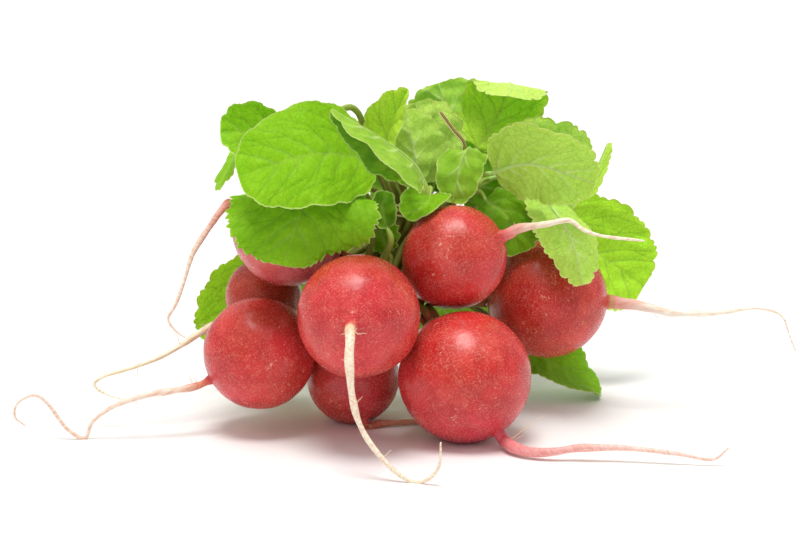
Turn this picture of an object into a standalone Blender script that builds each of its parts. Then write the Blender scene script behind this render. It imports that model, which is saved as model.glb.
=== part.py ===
"""A bunch of red radishes lying on a table: eight roots, their leaves and the twist tie round the stalks.

Lengths below are in millimetres and angles in degrees; meshes are written in metres, +Z up.
-Y is the front, where most of the taproots point.
"""

import math

import bmesh
import bpy
import numpy as np
from mathutils import Matrix, Vector

MM = 0.001
TURN_SIDES = 18
TAIL_SIDES_STEP = 1
BULB_STEPS = 9
TAIL_SPACING = 4.2
CROWN_RADIUS = 2.9
CROWN_RISE = 0.5
STALK_GAP = 0.4
STALK_RING = 1.8
STALK_RADIUS_LOW = 1.05
STALK_RADIUS_HIGH = 0.8
STALK_STEPS = 13
STALK_SIDES = 5
BLADE_THICKNESS = 0.62
BLADE_COLUMNS = 5
TOOTH_DEPTH = 1.0

TIE_CENTRE = (4.0, 30.0, 52.0)
TIE_AXIS = (0.18, 0.35, 0.92)
TIE_RADIUS = 8.8
TIE_WIDTH = 3.0
TIE_THICKNESS = 0.7
TIE_END_WIDTH = 1.4
TIE_ENDS = {
    "long": ([(12.4, 26.6, 51.4), (14, 27.5, 55), (14.6, 29.5, 60), (15.2, 31.8, 66), (17, 33, 71.3),
              (14, 33, 75.4), (10.6, 33, 80)], (0.75, -0.65, 0.2)),
    "short": ([(12.5, 27, 51), (15, 27.6, 52.6), (18, 28.6, 53), (20.5, 29.4, 51.5)], (0.1, -0.6, 1)),
}

SETTLE_STEPS = 600
SETTLE_COLUMNS = 9
SETTLE_STALK = 28
STALK_CLEARANCE = 1.3
BLADE_CLEARANCE = 1.15
TAIL_CLEARANCE = 1.5

# name: (bulb centre, bulb radius, height over width, taproot route from the neck outwards,
#        neck and tip radius of the taproot and how fast it thins)
ROOTS = {
    "root_top": ((13.9, 12.1, 45.0), 13.3, 1.03, [
        (26, 9, 51), (30, 8, 53.3), (36.8, 4.3, 55.1), (42.6, 2.5, 56.3), (46.1, 1.1, 54.2),
        (51.1, -0.2, 52.8), (61.2, -2.4, 52)], (1.3, 0.36, 2.6)),
    "root_front": ((-10.3, -9.3, 34.2), 15.4, 1.0, [
        (-12, -26.5, 34.8), (-12, -31, 32.5), (-12, -33.5, 27), (-11.3, -34.5, 19.5), (-9.4, -35, 13),
        (-6, -36, 7.5), (-1, -37.5, 2.4), (3.5, -38.5, 0.17), (7, -40, 1.6), (9.3, -41.5, 5.2),
        (9.6, -42, 11)],
        (1.1, 0.4, 1.5)),
    "root_left": ((-36.3, 9.0, 20.5), 14.5, 0.98, [
        (-50, 5.5, 13.6), (-55, 3, 12.6), (-64.9, 1, 11.3), (-73, 0.4, 8.6), (-78.5, 0.4, 4.5),
        (-80.5, 0.4, 0.2), (-85, 0, 2.8), (-89.6, 0, 9.2), (-93, 0, 11.6), (-97.3, 0, 9.6), (-98.2, 0, 6),
        (-95.6, 0, 3.6)], (0.95, 0.34, 1.9)),
    "root_right_front": ((16.5, 0.0, 16.4), 17.0, 0.98, [
        (25.2, -7.8, 3.4), (29, -15.5, 1.9), (35, -19, 1.9), (45.1, -20, 3.4), (56, -21, 3.6),
        (67.8, -23, 2.8),
        (76.2, -24, 1.6), (80.4, -24, 4.6)], (1.5, 0.4, 1.5)),
    "root_right_back": ((39.4, 34.0, 29.6), 15.8, 1.02, [
        (56.2, 33.5, 28.8), (64.7, 31.5, 28), (73.6, 31, 26.3), (84.8, 32.2, 26), (95.2, 32.5, 27.3),
        (102, 32, 25.5), (104.4, 31, 20), (106, 30.3, 16)], (1.6, 0.36, 2.3)),
    "root_low": ((-12.4, 18.6, 11.75), 12.2, 1.0, [
        (-9.4, 12, 2), (-5, 11.6, 1.05), (4, 14, 0.9), (14, 16.4, 0.8), (24, 15, 0.7)], (1.0, 0.4, 1.5)),
    "root_upper_left": ((-29.2, 18.0, 50.6), 14.0, 1.02, [
        (-42.6, 16.2, 57.6), (-45.8, 11.5, 57.2), (-49.3, 8.5, 52.5), (-52.7, 5.5, 47), (-54.9, 4, 40),
        (-57.1, 3, 34.3), (-58.9, 2.4, 31), (-57, 1.8, 28), (-54.6, 1.4, 26.4)], (1.1, 0.34, 1.9)),
    "root_left_back": ((-36.5, 32.0, 30.4), 10.2, 1.0, [
        (-45.2, 28.4, 25.4), (-51.1, 22.5, 23.8), (-60.3, 16.4, 18.9), (-68.4, 13.8, 15.9), (-76.9, 12, 13.6),
        (-79.4, 11.6, 11.2), (-75.3, 11, 8.6), (-71.1, 10.8, 7.8)], (1.0, 0.34, 1.9)),
}

# Places that the stalks of a root pass before they reach the tie.
WAY_OUT = {
    "root_right_front": [(5.5, 14, 31), (9, 24, 36.5)],
    "root_upper_left": [(-11.5, 21.5, 43.5)],
}

# One line a leaf: root it grows from, whether the tie holds it, points the stalk passes on its way,
# blade route from stalk to tip, across directions at stalk and tip, half width, fold, cup, teeth a side.
LEAVES = {
    "leaf_front_top": ("root_upper_left", True, [(-2, 18, 65)],
                       [(-6, 10, 71), (-22, -4, 74), (-40, -5, 68.5)],
                       (0, 0.45, 0.9), (0, 0.45, 0.9), 13.5, 6, -0.1, 7),
    "leaf_front_low": ("root_front", False, [(-6.5, 10.5, 49), (-7, 12, 58), (-13, 13, 66.5)],
                       [(-22, 9.5, 65.5), (-22.5, -1, 61), (-24.5, -6.5, 52.5), (-27, -8.5, 42.5)],
                       (-1, 0, 0), (-1, 0, 0), 19, 0, -0.12, 8),
    "leaf_front_fold": ("root_front", True, [(-1, 20, 64), (3, 9, 65)],
                        [(5.5, -1, 66), (2.5, -5.5, 72), (-5, -8.5, 78.5), (-16.8, -10, 86)],
                        (0.25, -0.89, 0.39), (0.25, -0.89, 0.39), 9, 52, 0.03, 5),
    "leaf_upright": ("root_upper_left", True, [], [(-4.5, 22, 70), (-2, 20.5, 79), (2, 16.5, 88)],
                     (0.71, -0.65, -0.25), (0.71, -0.65, -0.25), 8, 30, 0.05, 5),
    "leaf_left_small": ("root_upper_left", True,
                        [(-6, 29, 66), (-9, 25, 76), (-12, 20.5, 82.6), (-17, 18.5, 81)],
                        [(-31, 19, 74), (-38, 17, 76.5), (-46, 15.5, 77)],
                        (0.1, 0.5, 0.85), (0.1, 0.5, 0.85), 7.5, 8, 0.2, 5),
    "leaf_left_edge": ("root_left_back", True, [], [(-33, 29, 71), (-42.5, 25, 70), (-47, 21.5, 61)],
                       (-0.3, 0.9, -0.2), (-0.3, 0.9, -0.2), 8.5, 8, -0.1, 5),
    "leaf_centre_back": ("root_low", True, [], [(13, 44, 66), (13.5, 47, 76), (10.5, 48.5, 86)],
                         (-1, 0.1, 0), (-1, 0.1, 0), 12.5, 10, 0.15, 6),
    "leaf_centre_front": ("root_upper_left", True, [], [(8, 36, 62), (7, 36, 71), (4, 37, 82)],
                          (-1, 0.1, 0), (-1, 0.1, 0), 10, 12, 0.2, 6),
    "leaf_centre_left": ("root_left", True, [], [(5, 28, 61), (4, 28.5, 70), (1.5, 30, 81)],
                         (-1, 0.05, 0.1), (-1, 0.05, 0.1), 8.5, 14, 0.15, 5),
    "leaf_top_fold": ("root_right_front", True, [],
                      [(20, 41, 70), (26, 46, 78), (29, 44, 86.5), (28.5, 36, 84)],
                      (1, -0.1, -0.1), (1, 0.05, -0.1), 11, 4, 0.05, 6),
    "leaf_right_big": ("root_right_front", True, [(16.5, 26.5, 61.5)],
                       [(23, 23.5, 66), (34, 15.5, 69), (50, 14, 64)],
                       (0, -0.4, 0.9), (0, -0.4, 0.9), 11, 2, -0.02, 6),
    "leaf_right_behind": ("root_top", True, [], [(25, 35, 62.5), (36, 31.5, 67), (51, 30, 66)],
                          (0, -0.25, 0.95), (0, -0.25, 0.95), 11, 8, 0.1, 7),
    "leaf_right_dark": ("root_right_front", True, [], [(18, 42, 53), (25, 42, 59), (33, 41, 64)],
                        (-0.5, 0, 0.85), (-0.5, 0, 0.85), 8, 8, 0.1, 5),
    "leaf_right_edge": ("root_right_back", True, [(24, 38, 53)], [(45, 32, 54), (50, 29, 62), (54, 25, 73)],
                        (0.35, 0.9, 0), (0.35, 0.9, 0), 6, 10, 0.1, 5),
    "leaf_right_low": ("root_right_back", True, [(24, 48, 50)],
                       [(40, 56, 44), (54, 61, 37.5), (68.5, 62, 27)],
                       (-0.3, -0.35, -0.85), (-0.3, -0.35, -0.85), 15, 6, 0.1, 7),
    "leaf_right_hanging": ("root_right_back", False, [(24, 41.5, 37), (30, 37, 54)],
                           [(34, 26.5, 60.5), (40, 21, 55.5), (44.5, 14, 48), (47, 11.5, 38)],
                           (0.8, 0.5, 0), (1, 0, 0.2), 7.5, 10, 0.12, 6),
    "leaf_behind_top_root": ("root_top", True, [], [(22.5, 31, 58), (28, 27.5, 53.5), (31.5, 24.5, 44)],
                             (-1, 0, -0.2), (-1, 0, -0.2), 8, 8, 0.1, 5),
    "leaf_over_top_root": ("root_top", True, [(17, 32, 61)],
                           [(19.5, 31.5, 68), (18, 27, 71), (15.5, 22.5, 66.5), (13.5, 19.5, 57.5)],
                           (1, 0, -0.1), (1, 0, -0.1), 6.5, 14, 0.1, 5),
    "leaf_curled": ("root_low", True, [(6, 22, 58.5)], [(9.5, 18.5, 61.5), (8.5, 13.5, 59), (3.5, 10, 54.5)],
                    (-0.7, 0.5, 0.5), (-0.7, 0.5, 0.5), 6, 20, 0.25, 4),
    "leaf_small_olive": ("root_front", False, [(-4, 10, 45)],
                         [(-3.2, 7.5, 53.5), (-4.5, 7.5, 58.5), (-4, 8.5, 63)],
                         (0.9, 0.2, 0), (0.9, 0.2, 0), 3.4, 20, 0.2, 3),
    "leaf_small_low": ("root_front", False, [], [(-3, 13.5, 46), (-4, 12.5, 51), (-5, 12, 57)],
                       (0.8, 0, 0.2), (0.8, 0, 0.2), 4.2, 10, 0.1, 3),
    "leaf_left_low": ("root_left_back", False, [(-28, 48, 38)],
                      [(-35, 50, 36), (-43.5, 52, 28.5), (-52, 52, 13)],
                      (-0.7, -0.1, 0.7), (-0.7, -0.1, 0.7), 9.5, 6, 0.1, 6),
    "leaf_right_floor": ("root_right_back", False, [(26, 45, 21)], [(35, 47, 13), (45, 45, 7), (55, 44, 0)],
                         (-0.3, -0.6, -0.7), (-0.1, -0.95, 0), 9.5, 12, 0.05, 6),
    "leaf_back_top": ("root_low", True, [], [(8, 52, 70), (6, 65, 72), (4, 80, 64)],
                      (1, 0, 0), (1, 0, 0), 13, 8, -0.08, 7),
    "leaf_back_left": ("root_left_back", True, [], [(-10, 48, 62), (-23, 57, 60), (-36, 66, 48)],
                       (0.6, 0.8, 0), (0.6, 0.8, 0), 12, 8, -0.08, 7),
    "leaf_back_middle": ("root_left", True, [], [(1, 41, 57), (0, 44, 64), (-1, 47, 72)],
                         (1, 0, 0), (1, 0, 0), 9, 8, 0.1, 5),
    "leaf_left_high": ("root_left", True, [], [(-6, 40, 72), (-18, 42, 77), (-32, 42, 74)],
                       (0, 1, 0), (0, 1, 0), 10, 8, -0.08, 6),
    "leaf_back_right": ("root_right_back", True, [], [(22, 50, 64), (34, 62, 64), (46, 74, 52)],
                        (0.65, -0.75, 0), (0.65, -0.75, 0), 12, 8, -0.08, 7),
    "leaf_back_floor": ("root_low", True, [], [(7, 60, 52), (11, 71, 32), (14, 76, 8), (15, 81, 0)],
                        (1, 0, 0), (1, 0, 0), 13.5, 6, -0.05, 7),
    "leaf_back_left_low": ("root_left", False, [(-15, 38, 40)], [(-18, 56, 45), (-26, 64, 30), (-31, 69, 6)],
                           (0.75, 0.6, 0.1), (0.75, 0.6, 0.1), 11, 6, -0.05, 6),
}

# How much each of these blades narrows towards its tip, from 0 to 1.
POINTED = {"leaf_front_fold": 0.7, "leaf_upright": 0.7, "leaf_right_hanging": 0.3, "leaf_right_edge": 0.4}


def unit(vector):
    """The vector at length one."""
    vector = np.asarray(vector, dtype=float)
    return vector / max(np.linalg.norm(vector), 1e-9)


def route(points, count):
    """A smooth path through the points, as evenly spaced places along it."""
    points = np.asarray(points, dtype=float)
    padded = np.vstack([2 * points[0] - points[1], points, 2 * points[-1] - points[-2]])
    dense = []
    for index in range(1, len(padded) - 2):
        before, start, end, after = padded[index - 1:index + 3]
        for step in np.linspace(0, 1, 16, endpoint=False):
            dense.append(0.5 * (2 * start + (end - before) * step
                                + (2 * before - 5 * start + 4 * end - after) * step ** 2
                                + (3 * start - before - 3 * end + after) * step ** 3))
    dense.append(points[-1])
    dense = np.array(dense)
    run = np.concatenate([[0], np.cumsum(np.linalg.norm(np.diff(dense, axis=0), axis=1))])
    places = np.linspace(0, run[-1], count)
    return np.stack([np.interp(places, run, dense[:, axis]) for axis in range(3)], axis=1)


def directions(path):
    """The direction of travel at each place of a path."""
    along = np.gradient(path, axis=0)
    return along / np.maximum(np.linalg.norm(along, axis=1, keepdims=True), 1e-9)


# Leaves: a flat toothed blade is drawn first, then bent along its own route.

def half_outline(turn, length, half, teeth, point):
    """Across and along distances of a flat blade's edge; turn runs 0 at the stalk to 1 at the tip."""
    angle = math.pi * turn

    def plain(a):
        across = half * max(math.sin(a), 0.0) ** 0.78 * (1 - point * (a / math.pi) ** 2)
        return np.array([across, length * (0.02 + 0.49 * (1 - math.cos(a)))])

    edge = plain(angle)
    run = plain(min(angle + 0.02, math.pi)) - plain(max(angle - 0.02, 0.0))
    outward = unit([run[1], -run[0]])
    rise = abs(math.sin(math.pi * turn * teeth)) ** 0.8
    fade = min(1.0, 2.2 * math.sin(angle))
    edge = edge + outward * TOOTH_DEPTH * min(1.0, half / 8) * (rise - 0.5) * fade
    edge[0] = max(edge[0], STALK_RADIUS_HIGH * (1 - 0.4 * turn))
    if turn == 0:
        edge[1] = 0.0
    return edge


class Leaf:
    """One leaf: a round stalk that opens into a toothed blade."""

    def __init__(self, name, spec, base, rise, aside, slot):
        root_name, tied, via, blade, left, right, half, fold, cup, teeth = spec
        self.name = name
        self.tied = tied
        self.half = half
        self.fold = math.radians(fold)
        self.cup = cup
        self.teeth = teeth
        self.point = POINTED.get(name, 0.0)
        self.spine = route(blade, 41)
        self.run = np.linspace(0, 1, 41)
        self.length = float(np.sum(np.linalg.norm(np.diff(self.spine, axis=0), axis=1)))
        forward = directions(self.spine)
        blend = self.run[:, None]
        across = (1 - blend) * unit(left) + blend * unit(right)
        across -= forward * np.sum(across * forward, axis=1, keepdims=True)
        self.across = across / np.linalg.norm(across, axis=1, keepdims=True)
        self.face = np.cross(self.across, forward)
        self.forward = forward
        self.stalk = self.first_stalk(root_name, base, rise, aside, slot, via)
        self.shift = None

    def first_stalk(self, root_name, base, rise, aside, slot, via):
        """The stalk before leaves are pushed clear: out of the crown, through the tie, into the blade."""
        start = self.spine[0]
        inward = self.forward[0]
        points = [base, base + rise * 3]
        points += [np.array(place) + aside for place in WAY_OUT.get(root_name, [])]
        if self.tied:
            axis = unit(TIE_AXIS)
            points += [slot - axis * 3, slot + axis * 3]
        points += [np.array(place, dtype=float) for place in via]
        points += [start - inward * 3.5, start]
        return route(points, SETTLE_STALK)

    def place_on_blade(self, turn, side):
        """The middle of the blade's thickness at one place, before leaves are pushed clear."""
        edge = half_outline(turn, self.length, self.half, self.teeth, self.point)
        middle = self.length * turn ** 1.25
        across = edge[0] * abs(side)
        along = middle + (edge[1] - middle) * abs(side)
        at = np.clip(along / self.length, 0, 1)
        spot = np.array([np.interp(at, self.run, self.spine[:, axis]) for axis in range(3)])
        over = along - at * self.length
        sideways = np.array([np.interp(at, self.run, self.across[:, axis]) for axis in range(3)])
        face = np.array([np.interp(at, self.run, self.face[:, axis]) for axis in range(3)])
        forward = np.array([np.interp(at, self.run, self.forward[:, axis]) for axis in range(3)])
        share = across / self.half
        lift = across * math.sin(self.fold) + self.cup * self.half * share ** 2
        wave = 0.07 * self.half * math.sin(5.2 * turn * math.pi + (1.3 if side > 0 else 0.0)) * share ** 2
        reach = across * math.cos(self.fold) * (1 if side >= 0 else -1)
        return spot + forward * over + sideways * reach + face * (lift + wave)

    def grid(self, rows, columns):
        """The blade's middle surface as rows from stalk to tip by columns from left to right."""
        turns = np.linspace(0, 1, rows)
        sides = np.linspace(-1, 1, columns)
        return np.array([[self.place_on_blade(turn, side) for side in sides] for turn in turns])

    def settled_grid(self, rows, columns):
        """The blade after leaves are pushed clear."""
        places = self.grid(rows, columns)
        if self.shift is None:
            return places
        known_rows = np.linspace(0, 1, self.shift.shape[0])
        known_sides = np.linspace(-1, 1, self.shift.shape[1])
        turns = np.linspace(0, 1, rows)
        sides = np.linspace(-1, 1, columns)
        for axis in range(3):
            wide = np.array([np.interp(sides, known_sides, row) for row in self.shift[:, :, axis]])
            tall = np.array([np.interp(turns, known_rows, column) for column in wide.T]).T
            places[:, :, axis] += tall
        return places


def side_of(direction):
    """Any direction square to the given one, kept steady."""
    helper = np.array([0.0, 0.0, 1.0]) if abs(direction[2]) < 0.9 else np.array([0.0, 1.0, 0.0])
    return unit(np.cross(direction, helper))


def root_axis(root):
    """The unit direction from a bulb's centre to its neck."""
    return unit(np.array(root[3][0], dtype=float) - np.array(root[0]))


def crown_top(root):
    """The middle of the ring from which a root's stalks start."""
    return np.array(root[0]) - root_axis(root) * (root[1] * root[2] + CROWN_RISE + STALK_GAP)


def ring_places(count, radius, wishes):
    """Evenly spread places on a ring, turned to suit the wished angles as well as they can."""
    step = 2 * math.pi / count
    turn = sum(wish - index * step for index, wish in enumerate(wishes)) / count
    return [(radius * math.cos(turn + index * step), radius * math.sin(turn + index * step))
            for index in range(count)]


def tie_slots():
    """Where each tied stalk passes the middle of the tie.

    Two rings of places are shared out so that the ways through them are short together, which keeps the
    stalks from crossing.
    """
    axis = unit(TIE_AXIS)
    right = side_of(axis)
    up = np.cross(axis, right)
    names = [name for name, spec in LEAVES.items() if spec[1]]
    inner = len(names) // 3
    spots = np.array([np.array(TIE_CENTRE) + right * x + up * y
                      for count, radius in ((len(names) - inner, TIE_RADIUS - 1.9), (inner, TIE_RADIUS - 5.0))
                      for x, y in ring_places(count, radius, [0.0] * count)])
    crowns = np.array([crown_top(ROOTS[LEAVES[name][0]]) for name in names])
    onward = np.array([(LEAVES[name][2] + LEAVES[name][3])[0] for name in names], dtype=float)
    way = (np.linalg.norm(crowns[:, None] - spots[None], axis=2)
           + np.linalg.norm(onward[:, None] - spots[None], axis=2))
    taken = list(range(len(names)))
    swapped = True
    while swapped:
        swapped = False
        for a in range(len(names)):
            for b in range(a + 1, len(names)):
                gain = way[a, taken[a]] + way[b, taken[b]] - way[a, taken[b]] - way[b, taken[a]]
                if gain > 1e-6:
                    taken[a], taken[b] = taken[b], taken[a]
                    swapped = True
    return {name: spots[place] for name, place in zip(names, taken)}


def make_leaves():
    """Every leaf, with its stalk started on its root's crown, on the side that it leaves by."""
    leaves = []
    slots = tie_slots()
    for root_name, root in ROOTS.items():
        mine = [name for name in LEAVES if LEAVES[name][0] == root_name]
        rise = -root_axis(root)
        right = side_of(rise)
        up = np.cross(rise, right)
        top = crown_top(root)
        wish = {}
        for name in mine:
            aim = slots.get(name, np.array((LEAVES[name][2] + LEAVES[name][3])[0])) - top
            wish[name] = math.atan2(aim @ up, aim @ right)
        mine.sort(key=lambda name: wish[name])
        ring = max(STALK_RING, STALK_CLEARANCE / math.sin(math.pi / len(mine)))
        for name, (x, y) in zip(mine, ring_places(len(mine), ring, [wish[n] for n in mine])):
            aside = right * x + up * y
            leaves.append(Leaf(name, LEAVES[name], top + aside, rise, aside, slots.get(name)))
    return leaves


def tail_path(root, spacing=TAIL_SPACING):
    """The taproot's middle line and radius, from inside the bulb to its tip."""
    axis = root_axis(root)
    inside = np.array(root[0]) + axis * root[1] * root[2] * 0.86
    points = [inside] + [np.array(p, dtype=float) for p in root[3]]
    rough = route(points, 60)
    length = float(np.sum(np.linalg.norm(np.diff(rough, axis=0), axis=1)))
    path = route(points, max(8, int(round(length / spacing)) + 1))
    run = np.linspace(0, 1, len(path))
    neck, tip, thinning = root[4]
    radius = tip + (neck - tip) * (1 - run) ** thinning
    return path, radius


def near_pairs(places, size, owner, margin):
    """Pairs of places on different things that are close enough to matter."""
    firsts, seconds = [], []
    names = np.unique(owner)
    groups = {name: np.nonzero(owner == name)[0] for name in names}
    low = {name: places[groups[name]].min(axis=0) - margin - 2 for name in names}
    high = {name: places[groups[name]].max(axis=0) + 2 for name in names}
    for a in names:
        for b in names:
            if b <= a or (a < 0 and b < 0):
                continue
            if not ((low[a] < high[b]).all() and (low[b] < high[a]).all()):
                continue
            first, second = groups[a], groups[b]
            inside = ((places[first] > low[b]) & (places[first] < high[b] + margin)).all(axis=1)
            first = first[inside]
            inside = ((places[second] > low[a]) & (places[second] < high[a] + margin)).all(axis=1)
            second = second[inside]
            if not len(first) or not len(second):
                continue
            apart = places[first][:, None, :] - places[second][None, :, :]
            distance = np.sqrt((apart * apart).sum(axis=2))
            rows, columns = np.nonzero(distance < size[first][:, None] + size[second][None, :] + margin)
            firsts.append(first[rows])
            seconds.append(second[columns])
    return np.concatenate(firsts), np.concatenate(seconds)


def part_pairs(places, size, owner, pairs):
    """The shove on each place that parts the pairs that are too close."""
    first, second = pairs
    apart = places[first] - places[second]
    distance = np.linalg.norm(apart, axis=1) + 1e-9
    lack = size[first] + size[second] - distance
    close = lack > 0
    first, second = first[close], second[close]
    shove = apart[close] / distance[close][:, None] * lack[close][:, None]
    total = np.zeros_like(places)
    count = np.zeros(len(places))
    lone_first = np.where(owner[second] < 0, 1.0, 0.5)[:, None]
    lone_second = np.where(owner[first] < 0, 1.0, 0.5)[:, None]
    np.add.at(total, first, shove * lone_first)
    np.add.at(total, second, -shove * lone_second)
    np.add.at(count, first, 1)
    np.add.at(count, second, 1)
    return total / np.maximum(count, 1)[:, None]


def tie_places():
    """Places on the tie's ring that leaves keep clear of."""
    axis = unit(TIE_AXIS)
    right = side_of(axis)
    up = np.cross(axis, right)
    spots = []
    for level in (-1.0, 1.0):
        for index in range(40):
            angle = 2 * math.pi * index / 40
            spots.append(np.array(TIE_CENTRE) + axis * level
                         + (TIE_RADIUS + 0.4) * (right * math.cos(angle) + up * math.sin(angle)))
    return np.array(spots)


def keep_in_tie(stalk):
    """Brings the tied part of a stalk inside the tie's ring."""
    axis = unit(TIE_AXIS)
    offset = stalk - np.array(TIE_CENTRE)
    height = offset @ axis
    flat = offset - np.outer(height, axis)
    reach = np.linalg.norm(flat, axis=1)
    limit = TIE_RADIUS - 1.35 + 0.35 * np.maximum(np.abs(height) - 2.5, 0)
    over = np.maximum(reach - limit, 0) * (np.abs(height) < 5) * (reach < TIE_RADIUS + 6)
    return -flat / np.maximum(reach, 1e-9)[:, None] * over[:, None]


def keep_off_bulbs(places, clearance, skip_start):
    """Shoves places out of every bulb and off the table."""
    shove = np.zeros_like(places)
    for root in ROOTS.values():
        axis = root_axis(root)
        offset = places - np.array(root[0])
        along = offset @ axis
        scaled = offset + np.outer(along * (1 / root[2] - 1), axis)
        distance = np.linalg.norm(scaled, axis=1)
        lack = root[1] + clearance + 0.4 - distance
        lack[:skip_start] = 0
        shove += offset / np.maximum(distance, 1e-9)[:, None] * np.maximum(lack, 0)[:, None]
    floor = np.maximum(0.45 - places[:, 2], 0)
    shove[:, 2] += floor
    return shove


def smooth_stalk(shift, hold):
    """Evens the shift along a stalk."""
    inner = shift.copy()
    inner[1:-1] = 0.5 * shift[1:-1] + 0.25 * (shift[:-2] + shift[2:])
    inner[:hold] = 0
    return inner


def smooth_blade(shift):
    """Evens the shift over a blade."""
    padded = np.pad(shift, ((1, 1), (1, 1), (0, 0)), mode="edge")
    around = (padded[:-2, 1:-1] + padded[2:, 1:-1] + padded[1:-1, :-2] + padded[1:-1, 2:]) / 4
    return 0.5 * shift + 0.5 * around


def settle(leaves):
    """Pushes stalks and blades apart until none touches another, a bulb, a taproot, the tie or the table."""
    blades = [leaf.grid(2 * leaf.teeth + 1, SETTLE_COLUMNS) for leaf in leaves]
    blade_shift = [np.zeros_like(blade) for blade in blades]
    stalk_shift = [np.zeros_like(leaf.stalk) for leaf in leaves]
    still = [tail_path(root, 1.5)[0] for root in ROOTS.values()]
    still_size = [np.full(len(path), TAIL_CLEARANCE) for path in still]
    still += [tie_places()] + [route(points, 24)[6:] for points, _ in TIE_ENDS.values()]
    still_size += [np.full(len(path), size) for path, size in zip(still[len(ROOTS):], (1.0, 1.6, 1.4))]
    still_owner = [np.full(len(path), -1 - index) for index, path in enumerate(still)]
    count = SETTLE_STALK - 1
    centre = SETTLE_COLUMNS // 2
    for step in range(SETTLE_STEPS):
        moving = [np.vstack([(leaf.stalk + ss)[:-1], (blade + bs).reshape(-1, 3)])
                  for leaf, blade, bs, ss in zip(leaves, blades, blade_shift, stalk_shift)]
        if step == 0:
            sizes = [np.concatenate([np.full(count, STALK_CLEARANCE),
                                     np.full(len(places) - count, BLADE_CLEARANCE)]) for places in moving]
            owners = [np.full(len(m), index) for index, m in enumerate(moving)]
            size = np.concatenate(sizes + still_size)
            owner = np.concatenate(owners + still_owner)
        places = np.vstack(moving + still)
        if step % 8 == 0:
            pairs = near_pairs(places, size, owner, 2.5)
        shove = part_pairs(places, size, owner, pairs)
        at = 0
        for index, leaf in enumerate(leaves):
            own = slice(at, at + len(moving[index]))
            at += len(moving[index])
            push = shove[own] + keep_off_bulbs(places[own], size[own], 3)
            stalk_shift[index][:-1] += 0.7 * push[:count]
            if leaf.tied:
                stalk_shift[index][:-1] += keep_in_tie(places[own][:count])
            blade_shift[index] += 0.7 * push[count:].reshape(blades[index].shape)
            joined_at = 0.5 * (blade_shift[index][0, centre] + stalk_shift[index][-2])
            stalk_shift[index][-1] = joined_at
            blade_shift[index][0] = joined_at
            blade_shift[index][-1] = blade_shift[index][-2:].mean(axis=(0, 1))
            even = max(0.06, 1 - 1.4 * step / SETTLE_STEPS)
            stalk_shift[index] += even * (smooth_stalk(stalk_shift[index], 2) - stalk_shift[index])
            blade_shift[index] += even * (smooth_blade(blade_shift[index]) - blade_shift[index])
    for leaf, bs, ss in zip(leaves, blade_shift, stalk_shift):
        bs[0] = ss[-1]
        leaf.shift = bs
        leaf.stalk = leaf.stalk + ss


# Meshes.

def smooth_mesh(vertices, faces, name):
    """A mesh datablock in metres with smooth faces."""
    mesh = bpy.data.meshes.new(name)
    mesh.from_pydata([tuple(float(c) * MM for c in v) for v in vertices], [], faces)
    mesh.validate()
    mesh.update()
    for polygon in mesh.polygons:
        polygon.use_smooth = True
    return mesh


def walls(first, second, half):
    """Triangles between two equal rings, split alike on the two sides of a blade."""
    faces = []
    for column in range(len(first)):
        after = (column + 1) % len(first)
        a, b, c, d = first[column], first[after], second[after], second[column]
        if column < half:
            faces += [(a, b, c), (a, c, d)]
        else:
            faces += [(a, b, d), (b, c, d)]
    return faces


def skin(stalk_rings, blade_rings):
    """Vertices and triangles of a leaf: its stalk, the step to the wider blade rings, and the blade."""
    rings = stalk_rings + blade_rings
    vertices = [point for ring in rings for point in ring]
    numbers = []
    for ring in rings:
        start = numbers[-1][-1] + 1 if numbers else 0
        numbers.append(list(range(start, start + len(ring))))
    faces = []
    for first, second in zip(numbers[:-1], numbers[1:]):
        if len(first) == len(second):
            faces += walls(first, second, len(first) // 2)
            continue
        for index, near in enumerate(first):
            after = first[(index + 1) % len(first)]
            one, two = second[2 * index], second[2 * index + 1]
            three = second[(2 * index + 2) % len(second)]
            faces += [(near, two, one), (near, three, two), (near, after, three)]
    faces.append(tuple(reversed(numbers[0])))
    faces.append(tuple(numbers[-1]))
    return vertices, faces


def blade_faces(grid):
    """The facing direction at each place of a blade, steadied at its two narrow ends."""
    down = np.gradient(grid, axis=0)
    across = np.gradient(grid, axis=1)
    centre = grid.shape[1] // 2
    face = np.cross(across, down + 2 * down[:, centre:centre + 1])
    face /= np.maximum(np.linalg.norm(face, axis=2, keepdims=True), 1e-9)
    face[0] = face[1, centre]
    face[-1] = face[-2, centre]
    return face


def carried_sides(forward, last_side):
    """A side direction for each ring of a stalk, carried back from the blade without twisting."""
    sides = [unit(last_side - forward[-1] * np.dot(last_side, forward[-1]))]
    for ahead in forward[-2::-1]:
        sides.append(unit(sides[-1] - ahead * np.dot(sides[-1], ahead)))
    return sides[::-1]


def stalk_rings(leaf, last_side):
    """Round rings up the stalk, short of the blade."""
    path = route(leaf.stalk, STALK_STEPS + 1)
    forward = directions(path)
    sides = carried_sides(forward, last_side)
    angles = [math.pi * (0.8 - 2 * index / STALK_SIDES) for index in range(STALK_SIDES)]
    rings = []
    for index in range(STALK_STEPS):
        share = index / STALK_STEPS
        radius = STALK_RADIUS_LOW + (STALK_RADIUS_HIGH - STALK_RADIUS_LOW) * share
        normal = np.cross(sides[index], forward[index])
        spokes = [sides[index] * math.cos(angle) + normal * math.sin(angle) for angle in angles]
        rings.append([path[index] + radius * spoke for spoke in spokes])
    return rings


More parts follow.
